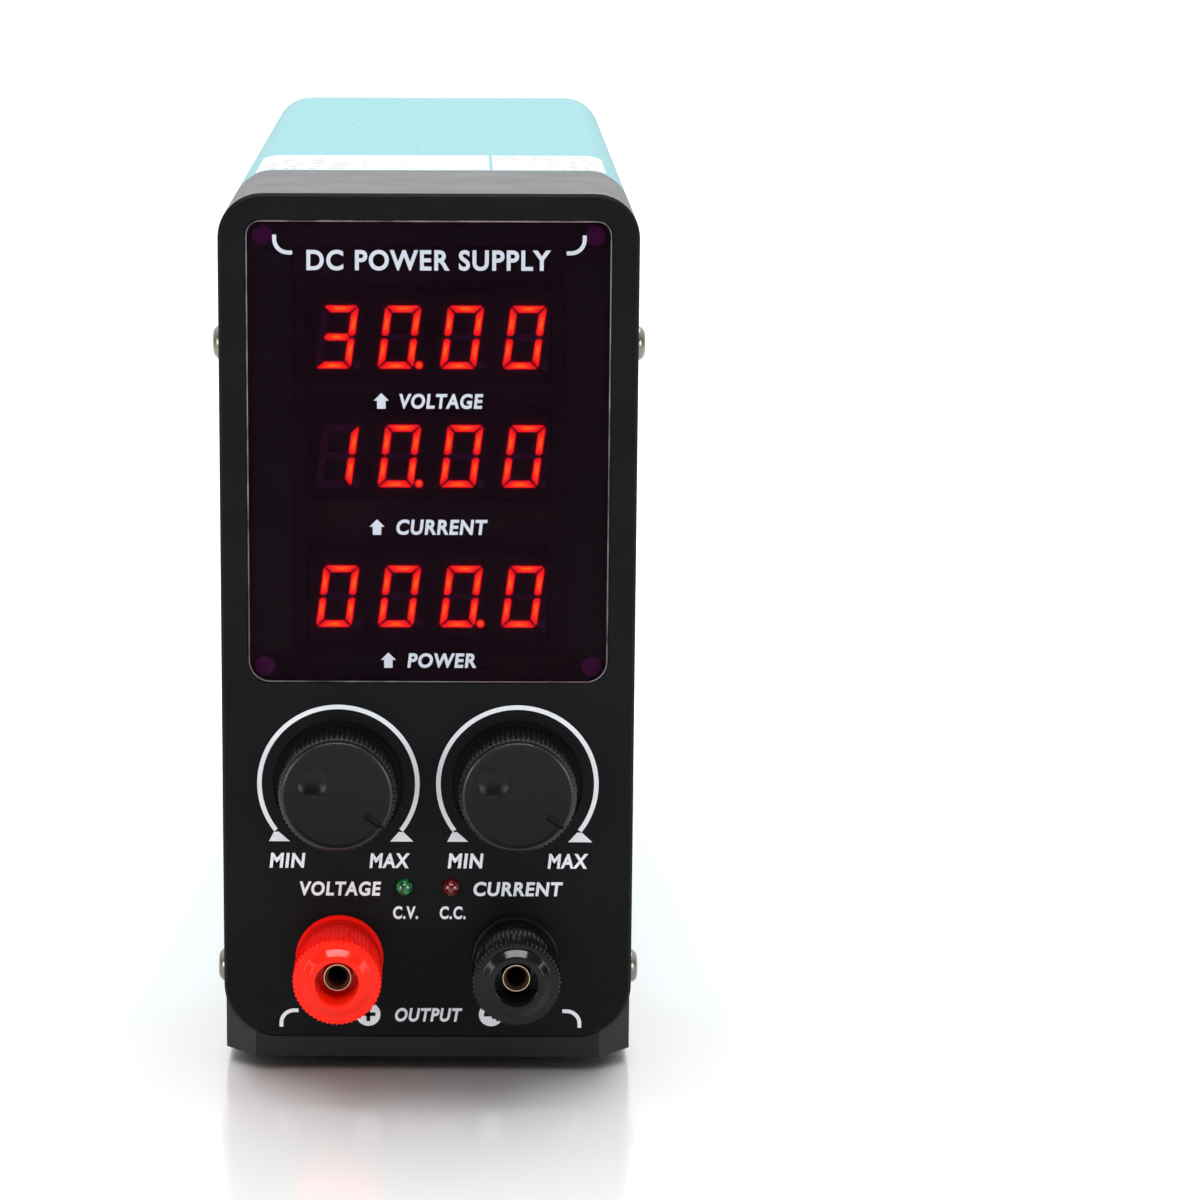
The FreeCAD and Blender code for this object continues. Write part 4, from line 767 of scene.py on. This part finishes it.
def knob(name, body):
    """Ribbed knob with a rolled rim, a shallow finger dimple and a lipped pointer slot open at the rim."""
    place = on_panel(name)
    face, face_edge, ribs = 10.78, 10.8, 72
    profile = [(face, 0), (face, 9.9), (10.84, 10.3), (10.97, 10.6), (11.0, 10.85), (10.92, 11.15),
               (10.7, 11.4), (10.3, 11.52), (9.75, 11.58), (9.55, 11.8), (9.35, 12.05), (9.0, 12.12),
               (0.5, 12.38), (0.2, 12.25), (0.2, 8), (4.2, 8), (4.2, 3), (9.5, 3), (9.5, 0)]
    depth = [0] * 9 + [0.1, 0.26, 0.34, 0.34, 0.3] + [0] * 5
    bm = bmesh.new()
    add_lathe(bm, place, profile, ribs * 6, waves=ribs, depth=depth)
    grip = make(f"{name}_grip", bm, LOOKS["knob_plastic"])

    dimple_x, dimple_y, ball_radius, ball_lift = -5.0, 2.95, 5.96, 5.09
    ball = bmesh.new()
    bmesh.ops.create_uvsphere(ball, u_segments=96, v_segments=64, radius=ball_radius,
                              matrix=place @ Matrix.Translation((dimple_x, dimple_y, face + ball_lift)))

    heading = place @ Matrix.Rotation(math.radians(-34.5), 4, "Z")
    slot_start, slot_half, lip_half = 7.4, 0.38, 0.62

    def slot_outline(inset):
        half, beyond_rim = slot_half - inset, 12.5
        return [(beyond_rim, -half), (beyond_rim, half)] + arc(slot_start, 0, half, 90, 270, 12)

    slot_tool = bmesh.new()
    slot_layers = [(10.4, 0.16), (10.6, 0.12), (10.8, -0.03), (11.6, -0.03)]
    add_layers(slot_tool, heading, slot_outline, slot_layers)
    carve(grip, make("ball", ball, INK), make("slot_tool", slot_tool, INK))
    shade(grip, LOOKS["knob_plastic"])
    grip.data.materials.append(KNOB_RIM)
    for polygon in grip.data.polygons:
        x, y, _ = place.inverted() @ polygon.center
        polygon.material_index = int(math.hypot(x, y) > face_edge)
    piece(grip, body, "knob_plastic", name)

    lip_end = 9.9
    path = [(lip_end, lip_half)] + arc(slot_start, 0, lip_half, 90, 270, 12) + [(lip_end, -lip_half)]
    lip = bmesh.new()
    rings = [ring_of(lip, heading, [(x, y, height) for x, y in stroke(path, width)])
             for height, width in ((10.6, 0.44), (10.78, 0.44), (10.88, 0.36), (10.95, 0.24), (10.97, 0.08))]
    for first, second in zip(rings, rings[1:]):
        bridge(lip, first, second)
    lip.faces.new(rings[0][::-1])
    lip.faces.new(rings[-1])
    piece(make(f"{name}_slot_lip", lip, LOOKS["knob_plastic"], 60), body, "knob_plastic")


def lamp(name, slot):
    """Round LED: a clear dome, a flanged case behind the panel and two legs."""
    place = on_panel(name)
    radius, rise, flange, leg_x, leg_half = 1.8, 0.2, 2.4, 1.27, 0.25
    dome = [(rise + radius * math.sin(math.radians(a)), radius * math.cos(math.radians(a)))
            for a in range(80, -1, -8)]
    case = [(-5, radius), (-5, flange), (-6, flange), (-6, 0)]
    bm = bmesh.new()
    add_lathe(bm, place, [(rise + radius, 0)] + dome + case, 48)
    for x in (-leg_x, leg_x):
        add_box(bm, place, (x - leg_half, -leg_half, -14), (x + leg_half, leg_half, -6))
    piece(make(f"{name}_dome", bm, LOOKS[slot], 40), "case", slot, name)


# Binding posts

def post(name, slot, cap_body):
    """Collar and ribbed screw cap of one post. On the red post the collar and the cap's sides are a darker
    red, which is painted shade.
    """
    place = on_panel(f"{name}_cap")
    collar = [(-3, 3.05), (2.1, 3.05), (2.1, 7.3), (2.2, 7.75), (2.65, 8.1), (2.8, 8.35), (2.8, 8.7),
              (2.72, 8.95), (2.5, 9.1), (2.2, 9.15), (1.75, 9.15), (1.5, 8.95), (1.3, 8.5), (0, 8.5),
              (0, 4.95), (-3, 4.95)]
    bm = bmesh.new()
    add_lathe(bm, place, collar, 120, loop=True)
    piece(make(f"{name}_flange", bm, POST_SIDES[slot]), "case", slot, f"{name}_collar")

    ribs, side_radius, shoulder = 56, 8.4, 19
    cap = [(12.5, 4.45), (20.15, 4.45), (20.4, 4.52), (20.5, 4.72), (20.5, 5.68), (20.43, 5.86),
           (20.39, 5.915), (19.54, 7.078), (19.5, 7.133), (19.42, 7.3), (19.4, 7.6), (19.4, 8.82),
           (19.3, 9.0), (19.1, 9.08), (11.0, 9.1), (10.3, 9.1), (9.9, 8.95), (9.8, 8.95), (6.8, 8.95),
           (6.6, 8.85), (6.1, 8.5), (3.86, 8.5), (3.86, 3.05), (12.5, 3.05)]
    depth = [0] * 11 + [0.26, 0.28, 0.3, 0.3, 0.16] + [0] * 8
    bm = bmesh.new()
    add_lathe(bm, place, cap, ribs * 8, loop=True, waves=ribs, depth=depth)
    screw_cap = make(f"{name}_screw_cap", bm, LOOKS[slot], 35)
    # Faces beyond the side radius and below the shoulder take the side look. On the red cap that look is
    # painted shade.
    screw_cap.data.materials.append(POST_SIDES[slot])
    for face in screw_cap.data.polygons:
        x, y, height = place.inverted() @ face.center
        face.material_index = int(math.hypot(x, y) > side_radius and height < shoulder)
    piece(screw_cap, cap_body, slot, f"{name}_cap")


def stem(name):
    """Brass stem. Its socket and the chamfer at the mouth are painted dark brown as shade, darker than its
    turned outside.
    """
    bore, depth, chamfer = 2.03, 6.0, 0.4
    profile = [(-depth, 0), (-depth, bore), (15.0, bore), (15.85, 2.56), (16, 2.64), (16, 2.8), (15.5, 3.0),
               (-16, 3.0), (-16, 0)]
    bm = bmesh.new()
    add_lathe(bm, on_panel(name), profile, 96)
    obj = make(f"{name}_turned", bm, LOOKS["brass"])
    obj.data.materials.append(SOCKET_SHADE)
    centre = middle(name)
    socket_end = BEZEL_LOW.y + (depth + 1) * MM
    # Faces in the socket and its mouth chamfer take the dark brown painted shade colour.
    for face in obj.data.polygons:
        reach = math.hypot(face.center.x - centre.x, face.center.z - centre.z) / MM
        face.material_index = int(reach < bore + chamfer and face.center.y < socket_end)
    piece(obj, "case", "brass", name)


# Fasteners

def pan_head(radius, height, shank_radius, shank_length, cross):
    """A pan-head screw with a cross recess, in millimetres; its head stands on z = 0."""
    flat = 0.55
    edge = [(height * math.sin(math.radians(a)), radius * (flat + (1 - flat) * math.cos(math.radians(a))))
            for a in range(0, 91, 15)]
    profile = [(-shank_length, 0), (-shank_length, shank_radius), (0, shank_radius), (0, radius)] + edge[1:]
    bm = bmesh.new()
    add_lathe(bm, Matrix.Identity(4), profile + [(height, 0)], 48)
    head = make("screw_head", bm, LOOKS["nickel_screw"])
    arm_half, floor = cross * 0.2, height * 0.25
    outline = [(-cross, -arm_half), (cross, -arm_half), (cross, arm_half), (-cross, arm_half)]
    tools = []
    for turn in (20, 110):
        tool = bmesh.new()
        add_prism(tool, Matrix.Rotation(math.radians(turn), 4, "Z"), outline, floor, height + 1)
        tools.append(make("cross_tool", tool, INK))
    carve(head, *tools)
    return head


def fasteners(name, node, spots, **sizes):
    """Copies of one screw at several frames, each turned a little further, as one piece."""
    pattern = pan_head(**sizes)
    bm = bmesh.new()
    for turn, spot in enumerate(spots):
        copy = pattern.data.copy()
        copy.transform(spot @ Matrix.Rotation(turn * 0.9, 4, "Z"))
        bm.from_mesh(copy)
        bpy.data.meshes.remove(copy)
    bpy.data.objects.remove(pattern)
    piece(make(name, bm, LOOKS["nickel_screw"]), "case", "nickel_screw", node)


def side_screws():
    low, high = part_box("side_screws")
    radius = 3.6
    spots = []
    for side, x in (("left", -1), ("right", 1)):
        for y in (low.y + radius * MM, high.y - radius * MM):
            for z in (low.z + radius * MM, high.z - radius * MM):
                spots.append(local((x * COVER_SIDE, y, z), side))
    fasteners("side_screw_set", "side_screws", spots,
              radius=radius, height=1.85, shank_radius=1.95, shank_length=4.5, cross=1.9)


def rear_screws():
    """The four screws that hold the fan and its guard, and those of the inlet and the selector."""
    low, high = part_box("fan_screws")
    radius, guard_height = 3.4, 2.9
    spots = [local((x, REAR_FACE + guard_height * MM, z), "rear")
             for x in (low.x + radius * MM, high.x - radius * MM)
             for z in (low.z + radius * MM, high.z - radius * MM)]
    fasteners("fan_screw_set", "fan_screws", spots,
              radius=radius, height=2.1, shank_radius=2.0, shank_length=18.0, cross=1.8)
    inlet, selector = middle("inlet_pins"), middle("selector_housing")
    inlet_flange, inlet_reach, inlet_drop, selector_reach = 2.2, 20, 2, 12
    spots = [local((x * MM, REAR_FACE + inlet_flange * MM, inlet.z - inlet_drop * MM), "rear")
             for x in (-inlet_reach, inlet_reach)]
    spots += [local((selector.x, REAR_FACE, selector.z + z * MM), "rear")
              for z in (-selector_reach, selector_reach)]
    fasteners("fitting_screw_set", "rear_fitting_screws", spots,
              radius=2.7, height=1.5, shank_radius=1.45, shank_length=5.0, cross=1.4)


# Rear marks

def rocker_marks():
    """A bar and a ring printed on the two halves of the mains rocker's face."""
    node = frame["nodes"]["power_rocker"]
    half_width = 5.2 * MM
    halves = {"upper": [], "lower": []}
    for face in node.data.polygons:
        normal = (node.matrix_world.to_3x3() @ face.normal).normalized()
        spot = node.matrix_world @ face.center
        if normal.y > 0.9 and abs(spot.x - middle("power_rocker").x) < half_width:
            halves["lower" if normal.z > 0.1 else "upper"].append((face.area, normal, spot))
    bar = [(-0.35, -1.5), (0.35, -1.5), (0.35, 1.5), (-0.35, 1.5)]
    ring = stroke(arc(0, 0, 1.3, 0, 356, 48), 0.6)
    bm = bmesh.new()
    for half, mark in (("upper", bar), ("lower", ring)):
        total = sum(area for area, _, _ in halves[half])
        centre = sum((spot * area for area, _, spot in halves[half]), Vector()) / total
        normal = halves[half][0][1]
        up = (Vector((0, 0, 1)) - normal * normal.z).normalized()
        place = Matrix((up.cross(normal), up, normal)).transposed().to_4x4()
        place.translation = centre
        add_prism(bm, place @ Matrix.Scale(MM, 4), mark, 0, PRINT)
    piece(make("rocker_marks", bm, INK), "rocker", "label_paper")


# Stage, light and camera

def studio():
    """The pale floor, and a world that is bright above and behind, dim in front, with a pale horizon."""
    scene = bpy.context.scene
    scene.view_settings.view_transform = "Standard"
    world = bpy.data.worlds.new("studio")
    scene.world = world
    world.use_nodes = True
    nodes, links = world.node_tree.nodes, world.node_tree.links
    direction = nodes.new("ShaderNodeTexCoord").outputs["Generated"]

    def eased(source, start, end, first, last):
        ramp = nodes.new("ShaderNodeMapRange")
        ramp.interpolation_type = "SMOOTHSTEP"
        for label, value in (("From Min", start), ("From Max", end), ("To Min", first), ("To Max", last)):
            ramp.inputs[label].default_value = value
        links.new(source, ramp.inputs["Value"])
        return ramp.outputs["Result"]

    up_and_back = nodes.new("ShaderNodeVectorMath")
    up_and_back.operation = "DOT_PRODUCT"
    up_and_back.inputs[1].default_value = (0, 0.7, 0.7)
    links.new(direction, up_and_back.inputs[0])
    height = nodes.new("ShaderNodeSeparateXYZ")
    links.new(direction, height.inputs["Vector"])
    brighter = nodes.new("ShaderNodeMath")
    brighter.operation = "MAXIMUM"
    links.new(eased(up_and_back.outputs["Value"], -0.15, 0.65, 0.11, 1.1), brighter.inputs[0])
    links.new(eased(height.outputs["Z"], 0.02, 0.14, 0.8, 0.0), brighter.inputs[1])
    links.new(brighter.outputs["Value"], nodes["Background"].inputs["Strength"])
    nodes["Background"].inputs["Color"].default_value = (1, 1, 1, 1)

    bm = bmesh.new()
    half = 20.0
    corners = ((-half, -half), (half, -half), (half, half), (-half, half))
    bm.faces.new([bm.verts.new((x, y, 0)) for x, y in corners])
    floor_look = Look("floor_look", (0.95, 0.95, 0.955), 0.16, Specular_IOR_Level=0.9)
    floor_look.tint(floor_look.texture("Noise", 400, Detail=2), (0.96, 0.96, 0.96))
    make("floor", bm, floor_look.material)


def light(name, kind, location, aim, energy, **settings):
    lamp_data = bpy.data.lights.new(name, kind)
    lamp_data.energy = energy
    for label, value in settings.items():
        setattr(lamp_data, label, value)
    obj = link(bpy.data.objects.new(name, lamp_data))
    obj.location = location
    obj.rotation_euler = (Vector(aim) - Vector(location)).to_track_quat("-Z", "Y").to_euler()
    return obj


def flag_floor(lamp_object):
    """Flags a front light off the floor, so that the shadow under the front stays deep."""
    group = bpy.data.collections.new(f"{lamp_object.name}_flag")
    group.objects.link(bpy.data.objects["floor"])
    group.collection_objects[0].light_linking.link_state = "EXCLUDE"
    lamp_object.light_linking.receiver_collection = group


def lights():
    """A large ceiling light over the back, two side lights, and a narrow strip for the glints."""
    aim = (0, BEZEL_LOW.y, 0.04)
    light("ceiling", "AREA", (0, 0.55, 1.5), (0, 0.55, 0), 28.0, shape="RECTANGLE", size=1.6, size_y=1.2)
    flag_floor(light("strip", "AREA", (0, -0.77, 0.93), aim, 3.2, shape="RECTANGLE", size=0.9, size_y=0.055))
    for x in (-1.1, 1.1):
        flag_floor(light("side", "AREA", (x, -1.05, 0.3), aim, 6.5, shape="RECTANGLE", size=0.6, size_y=0.6))


def camera():
    lens_length, pitch, yaw, roll = 116.55, 11.68, 0.22, 0.147
    aside, before, above = 0.00722, 0.77885, 0.2547
    data = bpy.data.cameras.new("camera")
    data.lens = lens_length
    data.sensor_width = 36
    data.shift_x = 0.126
    obj = link(bpy.data.objects.new("camera", data))
    stand = Matrix.Translation((aside, BEZEL_LOW.y - before, BEZEL_LOW.z + above))
    obj.matrix_world = (stand @ Matrix.Rotation(math.radians(yaw), 4, "Z")
                        @ Matrix.Rotation(math.radians(90 - pitch), 4, "X")
                        @ Matrix.Rotation(math.radians(roll), 4, "Z"))
    bpy.context.scene.camera = obj


dress_frame()
lens()
readout("voltage_display", "3000", 1)
readout("current_display", "1000", 1)
readout("power_display", "0000", 2)
panel_print()
lens_print()
knob("voltage_knob", "voltage_control")
knob("current_knob", "current_control")
lamp("cv_lamp", "lamp_green")
lamp("cc_lamp", "lamp_red")
post("positive", "red_plastic", "positive_screw_cap")
post("negative", "black_gloss", "negative_screw_cap")
stem("positive_stem")
stem("negative_stem")
side_screws()
rear_screws()
rocker_marks()
studio()
lights()
camera()
